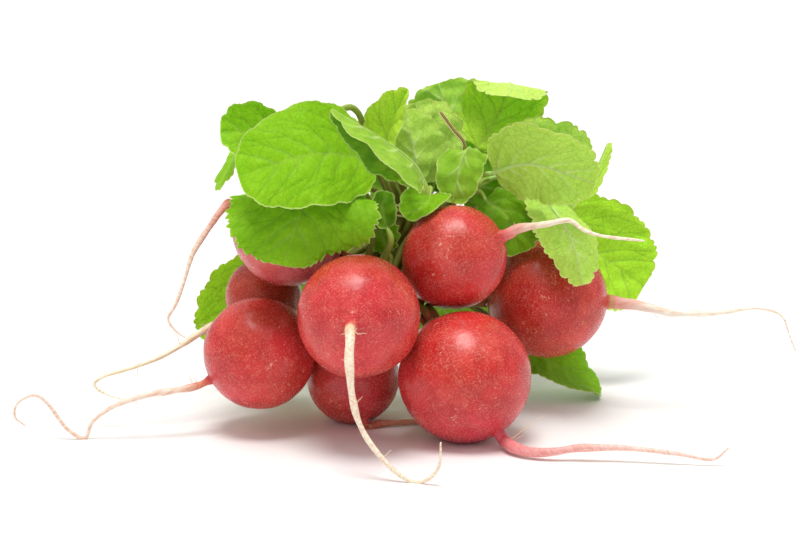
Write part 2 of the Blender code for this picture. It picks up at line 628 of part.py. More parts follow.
def blade_rings(leaf):
    """Rings round the blade, each its upper side then its lower side, thicker under the midrib."""
    columns = BLADE_COLUMNS
    rows = 2 * leaf.teeth + 1
    grid = leaf.settled_grid(rows, columns)
    face = blade_faces(grid)
    rings = []
    for row in range(rows):
        rib = 0.8 * (1 - row / (rows - 1)) ** 1.5
        top = [grid[row, k] + face[row, k] * BLADE_THICKNESS / 2 for k in range(columns)]
        bottom = []
        for k in reversed(range(columns)):
            extra = rib if k == columns // 2 else 0.0
            bottom.append(grid[row, k] - face[row, k] * (BLADE_THICKNESS / 2 + extra))
        rings.append(top + bottom)
    return rings, grid[1, -1] - grid[1, 0]


def bulb_profile(radius, height):
    """Half section of a bulb from crown to neck as distances out and up."""
    points = [(0.0, radius * height + CROWN_RISE), (CROWN_RADIUS, radius * height + CROWN_RISE - 0.2)]
    first = math.asin(min((CROWN_RADIUS + 0.5) / radius, 0.9))
    for step in range(BULB_STEPS + 1):
        angle = first + (math.radians(171) - first) * step / BULB_STEPS
        points.append((radius * math.sin(angle), radius * height * math.cos(angle)))
    points.append((0.0, -radius * height * 0.995))
    return points


def turned(name, profile, sides):
    """A solid turned from its half section about +Z."""
    mesh = bpy.data.meshes.new(name)
    vertices = [(x * MM, 0.0, z * MM) for x, z in profile]
    mesh.from_pydata(vertices, [(i, i + 1) for i in range(len(vertices) - 1)], [])
    body = bpy.data.objects.new(name, mesh)
    bpy.context.scene.collection.objects.link(body)
    screw = body.modifiers.new("Turn", "SCREW")
    screw.axis = "Z"
    screw.steps = sides
    screw.render_steps = sides
    screw.use_merge_vertices = True
    screw.merge_threshold = 0.00001
    screw.use_normal_calculate = True
    return body


def tube(name, path, radii, side_step):
    """A tapering tube along a path, with filled ends."""
    curve = bpy.data.curves.new(name, "CURVE")
    curve.dimensions = "3D"
    curve.bevel_depth = MM
    curve.bevel_resolution = side_step
    curve.use_fill_caps = True
    curve.twist_mode = "MINIMUM"
    line = curve.splines.new("POLY")
    line.points.add(len(path) - 1)
    for point, place, radius in zip(line.points, path, radii):
        point.co = (place[0] * MM, place[1] * MM, place[2] * MM, 1)
        point.radius = radius
    body = bpy.data.objects.new(name, curve)
    bpy.context.scene.collection.objects.link(body)
    return body


def baked(body):
    """The object's finished mesh, with its modifiers and curve settings applied."""
    depsgraph = bpy.context.evaluated_depsgraph_get()
    depsgraph.update()
    mesh = bpy.data.meshes.new_from_object(body.evaluated_get(depsgraph))
    return mesh


def outward(mesh):
    """Welds doubled points and faces a closed mesh outwards."""
    work = bmesh.new()
    work.from_mesh(mesh)
    bmesh.ops.remove_doubles(work, verts=work.verts, dist=0.00001)
    bmesh.ops.recalc_face_normals(work, faces=work.faces)
    work.to_mesh(mesh)
    work.free()
    for polygon in mesh.polygons:
        polygon.use_smooth = True
    mesh.update()


def joined(name, first, second):
    """One solid from two that cross."""
    union = first.modifiers.new("Join", "BOOLEAN")
    union.operation = "UNION"
    union.solver = "EXACT"
    union.object = second
    mesh = baked(first)
    for body in (first, second):
        bpy.data.objects.remove(body)
    mesh.name = name
    outward(mesh)
    return mesh


def trim_at_table(mesh):
    """Leaves a flat spot where the solid would sink into the table."""
    if min(v.co.z for v in mesh.vertices) > -0.00001:
        return
    work = bmesh.new()
    work.from_mesh(mesh)
    parts = work.verts[:] + work.edges[:] + work.faces[:]
    cut = bmesh.ops.bisect_plane(work, geom=parts, plane_co=(0, 0, 0), plane_no=(0, 0, -1), clear_outer=True)
    rim = [item for item in cut["geom_cut"] if isinstance(item, bmesh.types.BMEdge)]
    bmesh.ops.contextual_create(work, geom=rim)
    work.to_mesh(mesh)
    work.free()
    outward(mesh)


def root_mesh(name, root):
    """A bulb with its taproot as one solid."""
    centre, radius, height = np.array(root[0]), root[1], root[2]
    axis = root_axis(root)
    rise = Vector(-axis)
    place = Matrix.Translation(Vector(centre * MM)) @ rise.to_track_quat("Z", "Y").to_matrix().to_4x4()
    bulb = turned(name + "_bulb", bulb_profile(radius, height), TURN_SIDES)
    bulb_body = baked(bulb)
    bpy.data.objects.remove(bulb)
    bulb_body.transform(place)
    outward(bulb_body)
    bulb = bpy.data.objects.new(name + "_bulb", bulb_body)
    bpy.context.scene.collection.objects.link(bulb)
    path, radii = tail_path(root)
    tail_body = baked_tube(name + "_tail", path, radii)
    mesh = joined(name, bulb, tail_body)
    trim_at_table(mesh)
    return mesh


def baked_tube(name, path, radii):
    """A closed tube object whose mesh is ready for joining."""
    curve = tube(name + "_line", path, radii, TAIL_SIDES_STEP)
    mesh = baked(curve)
    bpy.data.objects.remove(curve)
    outward(mesh)
    body = bpy.data.objects.new(name, mesh)
    bpy.context.scene.collection.objects.link(body)
    return body


def band(path, normals, width, thickness):
    """Rectangular rings along a path; each normal points away from the flat of the band."""
    forward = directions(path)
    rings = []
    for place, ahead, normal in zip(path, forward, normals):
        up = unit(normal - ahead * np.dot(normal, ahead))
        side = np.cross(ahead, up)
        w, t = width / 2, thickness / 2
        rings.append([place - side * w + up * t, place + side * w + up * t,
                      place + side * w - up * t, place - side * w - up * t])
    return rings


def linked(name, mesh):
    """A new object in the scene for a mesh."""
    body = bpy.data.objects.new(name, mesh)
    bpy.context.scene.collection.objects.link(body)
    return body


def tie_end(name, points, face):
    """One free end of the tie as a flat strip."""
    path = route(points, 9)
    rings = band(path, [np.array(face, dtype=float)] * len(path), TIE_END_WIDTH, TIE_THICKNESS)
    numbers = [list(range(4 * index, 4 * index + 4)) for index in range(len(rings))]
    faces = []
    for first, second in zip(numbers[:-1], numbers[1:]):
        faces += walls(first, second, 2)
    faces += [tuple(reversed(numbers[0])), tuple(numbers[-1])]
    mesh = smooth_mesh([corner for ring in rings for corner in ring], faces, name)
    outward(mesh)
    return linked(name, mesh)


def tie_mesh():
    """The twist tie: a flat ring round the stalks with its two ends left free."""
    profile = []
    for out, along in ((0.0, -0.5), (1.0, -0.5), (1.0, 0.5), (0.0, 0.5), (0.0, -0.5)):
        profile.append((TIE_RADIUS + out * TIE_THICKNESS, along * TIE_WIDTH))
    ring = turned("tie_ring", profile, 28)
    mesh = baked(ring)
    bpy.data.objects.remove(ring)
    spin = Vector(unit(TIE_AXIS)).to_track_quat("Z", "Y").to_matrix().to_4x4()
    mesh.transform(Matrix.Translation(Vector(TIE_CENTRE) * MM) @ spin)
    outward(mesh)
    for name, (points, face) in TIE_ENDS.items():
        mesh = joined("twist_tie", linked("tie_so_far", mesh), tie_end("tie_" + name, points, face))
    return mesh


def paint(body, name, colour, roughness):
    """Gives the object its own plain material."""
    material = bpy.data.materials.new(name)
    material.use_nodes = True
    shader = material.node_tree.nodes["Principled BSDF"]
    shader.inputs["Base Color"].default_value = (*colour, 1)
    shader.inputs["Roughness"].default_value = roughness
    shader.inputs["Metallic"].default_value = 0.0
    body.data.materials.clear()
    body.data.materials.append(material)


def centre_on_origin(bunch):
    """Moves the bunch so that the middle of its footprint is on the origin and its lowest point at zero."""
    places = np.array([vertex.co[:] for body in bunch.objects for vertex in body.data.vertices])
    low = places.min(axis=0)
    high = places.max(axis=0)
    shift = Vector((-(low[0] + high[0]) / 2, -(low[1] + high[1]) / 2, -low[2]))
    for body in bunch.objects:
        body.data.transform(Matrix.Translation(shift))


def main():
    """Builds the bunch."""
    for old in list(bpy.data.objects):
        bpy.data.objects.remove(old)
    bunch = bpy.data.collections.new("bunch_of_radishes")
    bpy.context.scene.collection.children.link(bunch)
    for name, root in ROOTS.items():
        body = bpy.data.objects.new(name, root_mesh(name, root))
        bunch.objects.link(body)
        paint(body, name, (0.55, 0.05, 0.07), 0.45)
    leaves = make_leaves()
    settle(leaves)
    for leaf in leaves:
        blade, last_side = blade_rings(leaf)
        mesh = smooth_mesh(*skin(stalk_rings(leaf, last_side), blade), leaf.name)
        outward(mesh)
        body = bpy.data.objects.new(leaf.name, mesh)
        bunch.objects.link(body)
        paint(body, leaf.name, (0.2, 0.5, 0.06), 0.6)
    body = bpy.data.objects.new("twist_tie", tie_mesh())
    bunch.objects.link(body)
    paint(body, "twist_tie", (0.6, 0.45, 0.25), 0.5)
    centre_on_origin(bunch)


main()
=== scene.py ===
"""The looks of a bunch of red radishes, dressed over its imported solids.

Each root, leaf and the twist tie is rebuilt as a finer piece along the same routes as its solid.
The tables and the pushing apart of leaves are those of the part's own source.
Lengths are in millimetres until a mesh is made; -Y is the front.
"""

import itertools
import math

import bpy
import numpy as np
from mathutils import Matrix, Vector


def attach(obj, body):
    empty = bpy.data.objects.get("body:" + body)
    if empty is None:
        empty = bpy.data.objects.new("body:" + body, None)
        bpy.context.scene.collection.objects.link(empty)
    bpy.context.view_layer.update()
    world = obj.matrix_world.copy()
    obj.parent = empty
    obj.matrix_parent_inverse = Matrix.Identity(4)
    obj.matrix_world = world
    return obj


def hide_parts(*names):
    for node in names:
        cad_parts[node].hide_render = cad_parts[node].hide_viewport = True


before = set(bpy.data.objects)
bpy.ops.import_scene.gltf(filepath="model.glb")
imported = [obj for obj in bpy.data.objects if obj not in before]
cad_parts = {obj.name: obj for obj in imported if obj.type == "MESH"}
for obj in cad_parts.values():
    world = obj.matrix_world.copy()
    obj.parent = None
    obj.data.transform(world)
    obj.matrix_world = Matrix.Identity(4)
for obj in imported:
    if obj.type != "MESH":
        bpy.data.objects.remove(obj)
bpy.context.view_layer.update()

# The middle of the bunch's footprint in the coordinates of the tables below.
MIDDLE = (3.868, 19.5776, 0.0)

MM = 0.001
TAIL_SPACING = 1.5
CROWN_RADIUS = 2.9
CROWN_RISE = 0.5
STALK_GAP = 0.4
STALK_RING = 1.8
STALK_RADIUS_LOW = 1.05
STALK_RADIUS_HIGH = 0.8
TOOTH_DEPTH = 1.0
STALK_LEAD = 3
BLADE_LEAD = 3.5
BLADE_WAVES = 5.2
WAVE_HEIGHT = 0.07

TIE_CENTRE = (4.0, 30.0, 52.0)
TIE_AXIS = (0.18, 0.35, 0.92)
TIE_RADIUS = 8.8
TIE_WIDTH = 3.0
TIE_END_WIDTH = 1.4
OUTER_INSET = 1.9
INNER_INSET = 5.0
TIE_ENDS = {
    "long": ([(12.4, 26.6, 51.4), (14, 27.5, 55), (14.6, 29.5, 60), (15.2, 31.8, 66), (17, 33, 71.3),
              (14, 33, 75.4), (10.6, 33, 80)], (0.75, -0.65, 0.2)),
    "short": ([(12.5, 27, 51), (15, 27.6, 52.6), (18, 28.6, 53), (20.5, 29.4, 51.5)], (0.1, -0.6, 1)),
}

SETTLE_STEPS = 600
SETTLE_COLUMNS = 9
SETTLE_STALK = 28
SETTLE_PUSH = 0.7
PAIRS_KEPT = 8
PAIRS_MARGIN = 2.5
STALK_FIXED = 3
TABLE_CLEARANCE = 0.45
SPINE_PLACES = 41
ROUTE_TRIAL = 60
EDGE_PROBE = 0.02
STALK_CLEARANCE = 1.3
BLADE_CLEARANCE = 1.15
TAIL_CLEARANCE = 1.5

# name: (bulb centre, bulb radius, height over width, taproot route from the neck outwards,
#        neck and tip radius of the taproot and how fast it thins)
ROOTS = {
    "root_top": ((13.9, 12.1, 45.0), 13.3, 1.03, [
        (26, 9, 51), (30, 8, 53.3), (36.8, 4.3, 55.1), (42.6, 2.5, 56.3), (46.1, 1.1, 54.2),
        (51.1, -0.2, 52.8), (61.2, -2.4, 52)], (1.3, 0.36, 2.6)),
    "root_front": ((-10.3, -9.3, 34.2), 15.4, 1.0, [
        (-12, -26.5, 34.8), (-12, -31, 32.5), (-12, -33.5, 27), (-11.3, -34.5, 19.5), (-9.4, -35, 13),
        (-6, -36, 7.5), (-1, -37.5, 2.4), (3.5, -38.5, 0.17), (7, -40, 1.6), (9.3, -41.5, 5.2),
        (9.6, -42, 11)],
        (1.1, 0.4, 1.5)),
    "root_left": ((-36.3, 9.0, 20.5), 14.5, 0.98, [
        (-50, 5.5, 13.6), (-55, 3, 12.6), (-64.9, 1, 11.3), (-73, 0.4, 8.6), (-78.5, 0.4, 4.5),
        (-80.5, 0.4, 0.2), (-85, 0, 2.8), (-89.6, 0, 9.2), (-93, 0, 11.6), (-97.3, 0, 9.6), (-98.2, 0, 6),
        (-95.6, 0, 3.6)], (0.95, 0.34, 1.9)),
    "root_right_front": ((16.5, 0.0, 16.4), 17.0, 0.98, [
        (25.2, -7.8, 3.4), (29, -15.5, 1.9), (35, -19, 1.9), (45.1, -20, 3.4), (56, -21, 3.6),
        (67.8, -23, 2.8),
        (76.2, -24, 1.6), (80.4, -24, 4.6)], (1.5, 0.4, 1.5)),
    "root_right_back": ((39.4, 34.0, 29.6), 15.8, 1.02, [
        (56.2, 33.5, 28.8), (64.7, 31.5, 28), (73.6, 31, 26.3), (84.8, 32.2, 26), (95.2, 32.5, 27.3),
        (102, 32, 25.5), (104.4, 31, 20), (106, 30.3, 16)], (1.6, 0.36, 2.3)),
    "root_low": ((-12.4, 18.6, 11.75), 12.2, 1.0, [
        (-9.4, 12, 2), (-5, 11.6, 1.05), (4, 14, 0.9), (14, 16.4, 0.8), (24, 15, 0.7)], (1.0, 0.4, 1.5)),
    "root_upper_left": ((-29.2, 18.0, 50.6), 14.0, 1.02, [
        (-42.6, 16.2, 57.6), (-45.8, 11.5, 57.2), (-49.3, 8.5, 52.5), (-52.7, 5.5, 47), (-54.9, 4, 40),
        (-57.1, 3, 34.3), (-58.9, 2.4, 31), (-57, 1.8, 28), (-54.6, 1.4, 26.4)], (1.1, 0.34, 1.9)),
    "root_left_back": ((-36.5, 32.0, 30.4), 10.2, 1.0, [
        (-45.2, 28.4, 25.4), (-51.1, 22.5, 23.8), (-60.3, 16.4, 18.9), (-68.4, 13.8, 15.9), (-76.9, 12, 13.6),
        (-79.4, 11.6, 11.2), (-75.3, 11, 8.6), (-71.1, 10.8, 7.8)], (1.0, 0.34, 1.9)),
}

# Places that the stalks of a root pass before they reach the tie.
WAY_OUT = {
    "root_right_front": [(5.5, 14, 31), (9, 24, 36.5)],
    "root_upper_left": [(-11.5, 21.5, 43.5)],
}

# name: (root it grows from, whether the tie holds it, points that the stalk passes on its way,
#        blade route from stalk to tip, direction across it, half width, fold, cup, teeth a side)
LEAVES = {
    "leaf_front_top": ("root_upper_left", True, [(-2, 18, 65)],
        [(-6, 10, 71), (-22, -4, 74), (-40, -5, 68.5)], (0, 0.45, 0.9), 13.5, 6, -0.1, 7),
    "leaf_front_low": ("root_front", False, [(-6.5, 10.5, 49), (-7, 12, 58), (-13, 13, 66.5)],
        [(-22, 9.5, 65.5), (-22.5, -1, 61), (-24.5, -6.5, 52.5), (-27, -8.5, 42.5)],
        (-1, 0, 0), 19, 0, -0.12, 8),
    "leaf_front_fold": ("root_front", True, [(-1, 20, 64), (3, 9, 65)],
        [(5.5, -1, 66), (2.5, -5.5, 72), (-5, -8.5, 78.5), (-16.8, -10, 86)],
        (0.25, -0.89, 0.39), 9, 52, 0.03, 5),
    "leaf_upright": ("root_upper_left", True, [],
        [(-4.5, 22, 70), (-2, 20.5, 79), (2, 16.5, 88)], (0.71, -0.65, -0.25), 8, 30, 0.05, 5),
    "leaf_left_small": ("root_upper_left", True,
        [(-6, 29, 66), (-9, 25, 76), (-12, 20.5, 82.6), (-17, 18.5, 81)],
        [(-31, 19, 74), (-38, 17, 76.5), (-46, 15.5, 77)], (0.1, 0.5, 0.85), 7.5, 8, 0.2, 5),
    "leaf_left_edge": ("root_left_back", True, [],
        [(-33, 29, 71), (-42.5, 25, 70), (-47, 21.5, 61)], (-0.3, 0.9, -0.2), 8.5, 8, -0.1, 5),
    "leaf_centre_back": ("root_low", True, [],
        [(13, 44, 66), (13.5, 47, 76), (10.5, 48.5, 86)], (-1, 0.1, 0), 12.5, 10, 0.15, 6),
    "leaf_centre_front": ("root_upper_left", True, [],
        [(8, 36, 62), (7, 36, 71), (4, 37, 82)], (-1, 0.1, 0), 10, 12, 0.2, 6),
    "leaf_centre_left": ("root_left", True, [],
        [(5, 28, 61), (4, 28.5, 70), (1.5, 30, 81)], (-1, 0.05, 0.1), 8.5, 14, 0.15, 5),
    "leaf_top_fold": ("root_right_front", True, [],
        [(20, 41, 70), (26, 46, 78), (29, 44, 86.5), (28.5, 36, 84)], (1, -0.1, -0.1), 11, 4, 0.05, 6),
    "leaf_right_big": ("root_right_front", True, [(16.5, 26.5, 61.5)],
        [(23, 23.5, 66), (34, 15.5, 69), (50, 14, 64)], (0, -0.4, 0.9), 11, 2, -0.02, 6),
    "leaf_right_behind": ("root_top", True, [],
        [(25, 35, 62.5), (36, 31.5, 67), (51, 30, 66)], (0, -0.25, 0.95), 11, 8, 0.1, 7),
    "leaf_right_dark": ("root_right_front", True, [],
        [(18, 42, 53), (25, 42, 59), (33, 41, 64)], (-0.5, 0, 0.85), 8, 8, 0.1, 5),
    "leaf_right_edge": ("root_right_back", True, [(24, 38, 53)],
        [(45, 32, 54), (50, 29, 62), (54, 25, 73)], (0.35, 0.9, 0), 6, 10, 0.1, 5),
    "leaf_right_low": ("root_right_back", True, [(24, 48, 50)],
        [(40, 56, 44), (54, 61, 37.5), (68.5, 62, 27)], (-0.3, -0.35, -0.85), 15, 6, 0.1, 7),
    "leaf_right_hanging": ("root_right_back", False, [(24, 41.5, 37), (30, 37, 54)],
        [(34, 26.5, 60.5), (40, 21, 55.5), (44.5, 14, 48), (47, 11.5, 38)], (0.8, 0.5, 0), 7.5, 10, 0.12, 6),
    "leaf_behind_top_root": ("root_top", True, [],
        [(22.5, 31, 58), (28, 27.5, 53.5), (31.5, 24.5, 44)], (-1, 0, -0.2), 8, 8, 0.1, 5),
    "leaf_over_top_root": ("root_top", True, [(17, 32, 61)],
        [(19.5, 31.5, 68), (18, 27, 71), (15.5, 22.5, 66.5), (13.5, 19.5, 57.5)],
        (1, 0, -0.1), 6.5, 14, 0.1, 5),
    "leaf_curled": ("root_low", True, [(6, 22, 58.5)],
        [(9.5, 18.5, 61.5), (8.5, 13.5, 59), (3.5, 10, 54.5)], (-0.7, 0.5, 0.5), 6, 20, 0.25, 4),
    "leaf_small_olive": ("root_front", False, [(-4, 10, 45)],
        [(-3.2, 7.5, 53.5), (-4.5, 7.5, 58.5), (-4, 8.5, 63)], (0.9, 0.2, 0), 3.4, 20, 0.2, 3),
    "leaf_small_low": ("root_front", False, [],
        [(-3, 13.5, 46), (-4, 12.5, 51), (-5, 12, 57)], (0.8, 0, 0.2), 4.2, 10, 0.1, 3),
    "leaf_left_low": ("root_left_back", False, [(-28, 48, 38)],
        [(-35, 50, 36), (-43.5, 52, 28.5), (-52, 52, 13)], (-0.7, -0.1, 0.7), 9.5, 6, 0.1, 6),
    "leaf_right_floor": ("root_right_back", False, [(26, 45, 21)],
        [(35, 47, 13), (45, 45, 7), (55, 44, 0)], (-0.3, -0.6, -0.7), 9.5, 12, 0.05, 6),
    "leaf_back_top": ("root_low", True, [],
        [(8, 52, 70), (6, 65, 72), (4, 80, 64)], (1, 0, 0), 13, 8, -0.08, 7),
    "leaf_back_left": ("root_left_back", True, [],
        [(-10, 48, 62), (-23, 57, 60), (-36, 66, 48)], (0.6, 0.8, 0), 12, 8, -0.08, 7),
    "leaf_back_middle": ("root_left", True, [],
        [(1, 41, 57), (0, 44, 64), (-1, 47, 72)], (1, 0, 0), 9, 8, 0.1, 5),
    "leaf_left_high": ("root_left", True, [],
        [(-6, 40, 72), (-18, 42, 77), (-32, 42, 74)], (0, 1, 0), 10, 8, -0.08, 6),
    "leaf_back_right": ("root_right_back", True, [],
        [(22, 50, 64), (34, 62, 64), (46, 74, 52)], (0.65, -0.75, 0), 12, 8, -0.08, 7),
    "leaf_back_floor": ("root_low", True, [],
        [(7, 60, 52), (11, 71, 32), (14, 76, 8), (15, 81, 0)], (1, 0, 0), 13.5, 6, -0.05, 7),
    "leaf_back_left_low": ("root_left", False, [(-15, 38, 40)],
        [(-18, 56, 45), (-26, 64, 30), (-31, 69, 6)], (0.75, 0.6, 0.1), 11, 6, -0.05, 6),
}

# The direction across the tip of these blades, which twist on their way to it.
TIP_ACROSS = {"leaf_top_fold": (1, 0.05, -0.1), "leaf_right_hanging": (1, 0, 0.2),
              "leaf_right_floor": (-0.1, -0.95, 0)}

# How much each of these blades narrows towards its tip, from 0 to 1.
POINTED = {"leaf_front_fold": 0.7, "leaf_upright": 0.7, "leaf_right_hanging": 0.3, "leaf_right_edge": 0.4}


def unit(vector):
    """The vector at length one."""
    vector = np.asarray(vector, dtype=float)
    return vector / max(np.linalg.norm(vector), 1e-9)


def run_along(path):
    """The distance from the start of a path to each of its places."""
    return np.concatenate([[0], np.cumsum(np.linalg.norm(np.diff(path, axis=0), axis=1))])


def route(points, count):
    """A smooth path through the points, as evenly spaced places along it."""
    points = np.asarray(points, dtype=float)
    padded = np.vstack([2 * points[0] - points[1], points, 2 * points[-1] - points[-2]])
    dense = []
    for index in range(1, len(padded) - 2):
        before, start, end, after = padded[index - 1:index + 3]
        for step in np.linspace(0, 1, 16, endpoint=False):
            dense.append(0.5 * (2 * start + (end - before) * step
                                + (2 * before - 5 * start + 4 * end - after) * step ** 2
                                + (3 * start - before - 3 * end + after) * step ** 3))
    dense.append(points[-1])
    dense = np.array(dense)
    run = run_along(dense)
    places = np.linspace(0, run[-1], count)
    return np.stack([np.interp(places, run, dense[:, axis]) for axis in range(3)], axis=1)


def directions(path):
    """The direction of travel at each place of a path."""
    along = np.gradient(path, axis=0)
    return along / np.maximum(np.linalg.norm(along, axis=1, keepdims=True), 1e-9)


def square_to(direction):
    """Two directions square to the given one and to each other, kept steady."""
    helper = np.array([0.0, 0.0, 1.0]) if abs(direction[2]) < 0.9 else np.array([0.0, 1.0, 0.0])
    right = unit(np.cross(direction, helper))
    return right, np.cross(direction, right)


# Leaves: a flat toothed blade is drawn first, then bent along its own route.

def plain_edge(leaf, angle):
    """Across and along distances of a blade's edge without teeth, for angles from 0 at the stalk to pi."""
    across = leaf.half * np.maximum(np.sin(angle), 0) ** 0.78 * (1 - leaf.point * (angle / math.pi) ** 2)
    return np.stack([across, leaf.length * (0.02 + 0.49 * (1 - np.cos(angle)))], axis=-1)


def large_teeth(leaf, turns):
    """How far the large teeth stand out along the edge, from -0.5 to 0.5."""
    return np.abs(np.sin(math.pi * turns * leaf.teeth)) ** 0.8 - 0.5


def tooth_fade(turns):
    """Teeth fade out towards the stalk and the tip."""
    return np.minimum(1, 2.2 * np.sin(math.pi * turns).clip(0))


def not_below_stalk(across, turns):
    """A blade's half width, kept at least as wide as its stalk."""
    return np.maximum(across, STALK_RADIUS_HIGH * (1 - 0.4 * turns))


def solid_edge(leaf, turns):
    """Across and along distances of the edge of a leaf's solid."""
    angle = math.pi * turns
    run = (plain_edge(leaf, np.minimum(angle + EDGE_PROBE, math.pi))
           - plain_edge(leaf, np.maximum(angle - EDGE_PROBE, 0)))
    outward = np.stack([run[:, 1], -run[:, 0]], axis=1)
    outward /= np.linalg.norm(outward, axis=1, keepdims=True)
    reach = TOOTH_DEPTH * min(1.0, leaf.half / 8) * large_teeth(leaf, turns) * tooth_fade(turns)
    edge = plain_edge(leaf, angle) + outward * reach[:, None]
    edge[:, 0] = not_below_stalk(edge[:, 0], turns)
    edge[0, 1] = 0.0
    return edge


class Leaf:
    """One leaf: a round stalk that opens into a toothed blade."""

    def __init__(self, name, spec, base, rise, aside, slot):
        root_name, tied, via, blade, start_across, half, fold, cup, teeth = spec
        self.name = name
        self.tied = tied
        self.half = half
        self.fold = math.radians(fold)
        self.cup = cup
        self.teeth = teeth
        self.point = POINTED.get(name, 0.0)
        self.spine = route(blade, SPINE_PLACES)
        self.length = run_along(self.spine)[-1]
        self.forward = directions(self.spine)
        blend = np.linspace(0, 1, SPINE_PLACES)[:, None]
        across = (1 - blend) * unit(start_across) + blend * unit(TIP_ACROSS.get(name, start_across))
        across -= self.forward * np.sum(across * self.forward, axis=1, keepdims=True)
        self.across = across / np.linalg.norm(across, axis=1, keepdims=True)
        self.face = np.cross(self.across, self.forward)
        self.stalk = self.first_stalk(root_name, base, rise, aside, slot, via)
        self.shift = None

    def first_stalk(self, root_name, base, rise, aside, slot, via):
        """The stalk before leaves are pushed clear: out of the crown, through the tie, into the blade."""
        start = self.spine[0]
        points = [base, base + rise * STALK_LEAD]
        points += [np.array(place) + aside for place in WAY_OUT.get(root_name, [])]
        if self.tied:
            axis = unit(TIE_AXIS)
            points += [slot - axis * STALK_LEAD, slot + axis * STALK_LEAD]
        points += [np.array(place, dtype=float) for place in via]
        points += [start - self.forward[0] * BLADE_LEAD, start]
        return route(points, SETTLE_STALK)

    def bend(self, across, along, turns, sides, ruffle=0.0):
        """The blade's middle surface for its flat distances, before leaves are pushed clear."""
        at = np.clip(along / self.length, 0, 1)
        known = np.linspace(0, 1, SPINE_PLACES)
        spot, sideways, face, forward = (
            np.stack([np.interp(at, known, values[:, axis]) for axis in range(3)], axis=-1)
            for values in (self.spine, self.across, self.face, self.forward))
        share = across / self.half
        lift = across * math.sin(self.fold) + self.cup * self.half * share ** 2
        wave = np.sin(BLADE_WAVES * turns * math.pi + np.where(sides > 0, 1.3, 0.0))
        wave = WAVE_HEIGHT * self.half * wave * share ** 2
        reach = across * math.cos(self.fold) * np.where(sides >= 0, 1.0, -1.0)
        over = along - at * self.length
        lift = lift + wave + ruffle
        return spot + forward * over[..., None] + sideways * reach[..., None] + face * lift[..., None]

    def grid(self, rows, columns):
        """The middle surface of the leaf's solid, as rows from stalk to tip by columns across."""
        turns = np.linspace(0, 1, rows)[:, None]
        sides = np.linspace(-1, 1, columns)[None, :]
        edge = solid_edge(self, turns[:, 0])
        middle = self.length * turns ** 1.25
        across = edge[:, :1] * np.abs(sides)
        along = middle + (edge[:, 1:] - middle) * np.abs(sides)
        return self.bend(across, along, turns, sides)


def root_axis(root):
    """The unit direction from a bulb's centre to its neck."""
    return unit(np.array(root[3][0], dtype=float) - np.array(root[0]))


def crown_top(root):
    """The middle of the ring from which a root's stalks start."""
    return np.array(root[0]) - root_axis(root) * (root[1] * root[2] + CROWN_RISE + STALK_GAP)


def ring_places(count, radius, wishes):
    """Evenly spread places on a ring, turned to suit the wished angles as well as they can."""
    step = 2 * math.pi / count
    turn = sum(wish - index * step for index, wish in enumerate(wishes)) / count
    return [(radius * math.cos(turn + index * step), radius * math.sin(turn + index * step))
            for index in range(count)]


def first_aim(name):
    """The first place that a leaf's stalk or blade is meant to pass."""
    return np.array((LEAVES[name][2] + LEAVES[name][3])[0], dtype=float)


def tie_slots():
    """Where each tied stalk passes the middle of the tie.

    Two rings of places are shared out so that the ways through them are short together, which keeps the
    stalks from crossing.
    """
    right, up = square_to(unit(TIE_AXIS))
    names = [name for name, spec in LEAVES.items() if spec[1]]
    inner = len(names) // 3
    spots = np.array([np.array(TIE_CENTRE) + right * x + up * y
                      for count, inset in ((len(names) - inner, OUTER_INSET), (inner, INNER_INSET))
                      for x, y in ring_places(count, TIE_RADIUS - inset, [0.0] * count)])
    crowns = np.array([crown_top(ROOTS[LEAVES[name][0]]) for name in names])
    onward = np.array([first_aim(name) for name in names])
    way = (np.linalg.norm(crowns[:, None] - spots[None], axis=2)
           + np.linalg.norm(onward[:, None] - spots[None], axis=2))
    taken = list(range(len(names)))
    swapped = True
    while swapped:
        swapped = False
        for a in range(len(names)):
            for b in range(a + 1, len(names)):
                gain = way[a, taken[a]] + way[b, taken[b]] - way[a, taken[b]] - way[b, taken[a]]
                if gain > 1e-6:
                    taken[a], taken[b] = taken[b], taken[a]
                    swapped = True
    return {name: spots[place] for name, place in zip(names, taken)}


def make_leaves():
    """Every leaf, with its stalk started on its root's crown, on the side that it leaves by."""
    leaves = []
    slots = tie_slots()
    for root_name, root in ROOTS.items():
        mine = [name for name in LEAVES if LEAVES[name][0] == root_name]
        rise = -root_axis(root)
        right, up = square_to(rise)
        top = crown_top(root)
        wish = {}
        for name in mine:
            aim = slots.get(name, first_aim(name)) - top
            wish[name] = math.atan2(aim @ up, aim @ right)
        mine.sort(key=lambda name: wish[name])
        ring = max(STALK_RING, STALK_CLEARANCE / math.sin(math.pi / len(mine)))
        for name, (x, y) in zip(mine, ring_places(len(mine), ring, [wish[n] for n in mine])):
            aside = right * x + up * y
            leaves.append(Leaf(name, LEAVES[name], top + aside, rise, aside, slots.get(name)))
    return leaves


def tail_places(root):
    """Places along the middle of a taproot that leaves keep clear of."""
    inside = np.array(root[0]) + root_axis(root) * root[1] * root[2] * 0.86
    points = [inside] + list(root[3])
    length = run_along(route(points, ROUTE_TRIAL))[-1]
    return route(points, max(8, int(round(length / TAIL_SPACING)) + 1))


def inside_box(places, chosen, low, high):
    """Those of the chosen places that lie in a box."""
    return chosen[((places[chosen] > low) & (places[chosen] < high)).all(axis=1)]


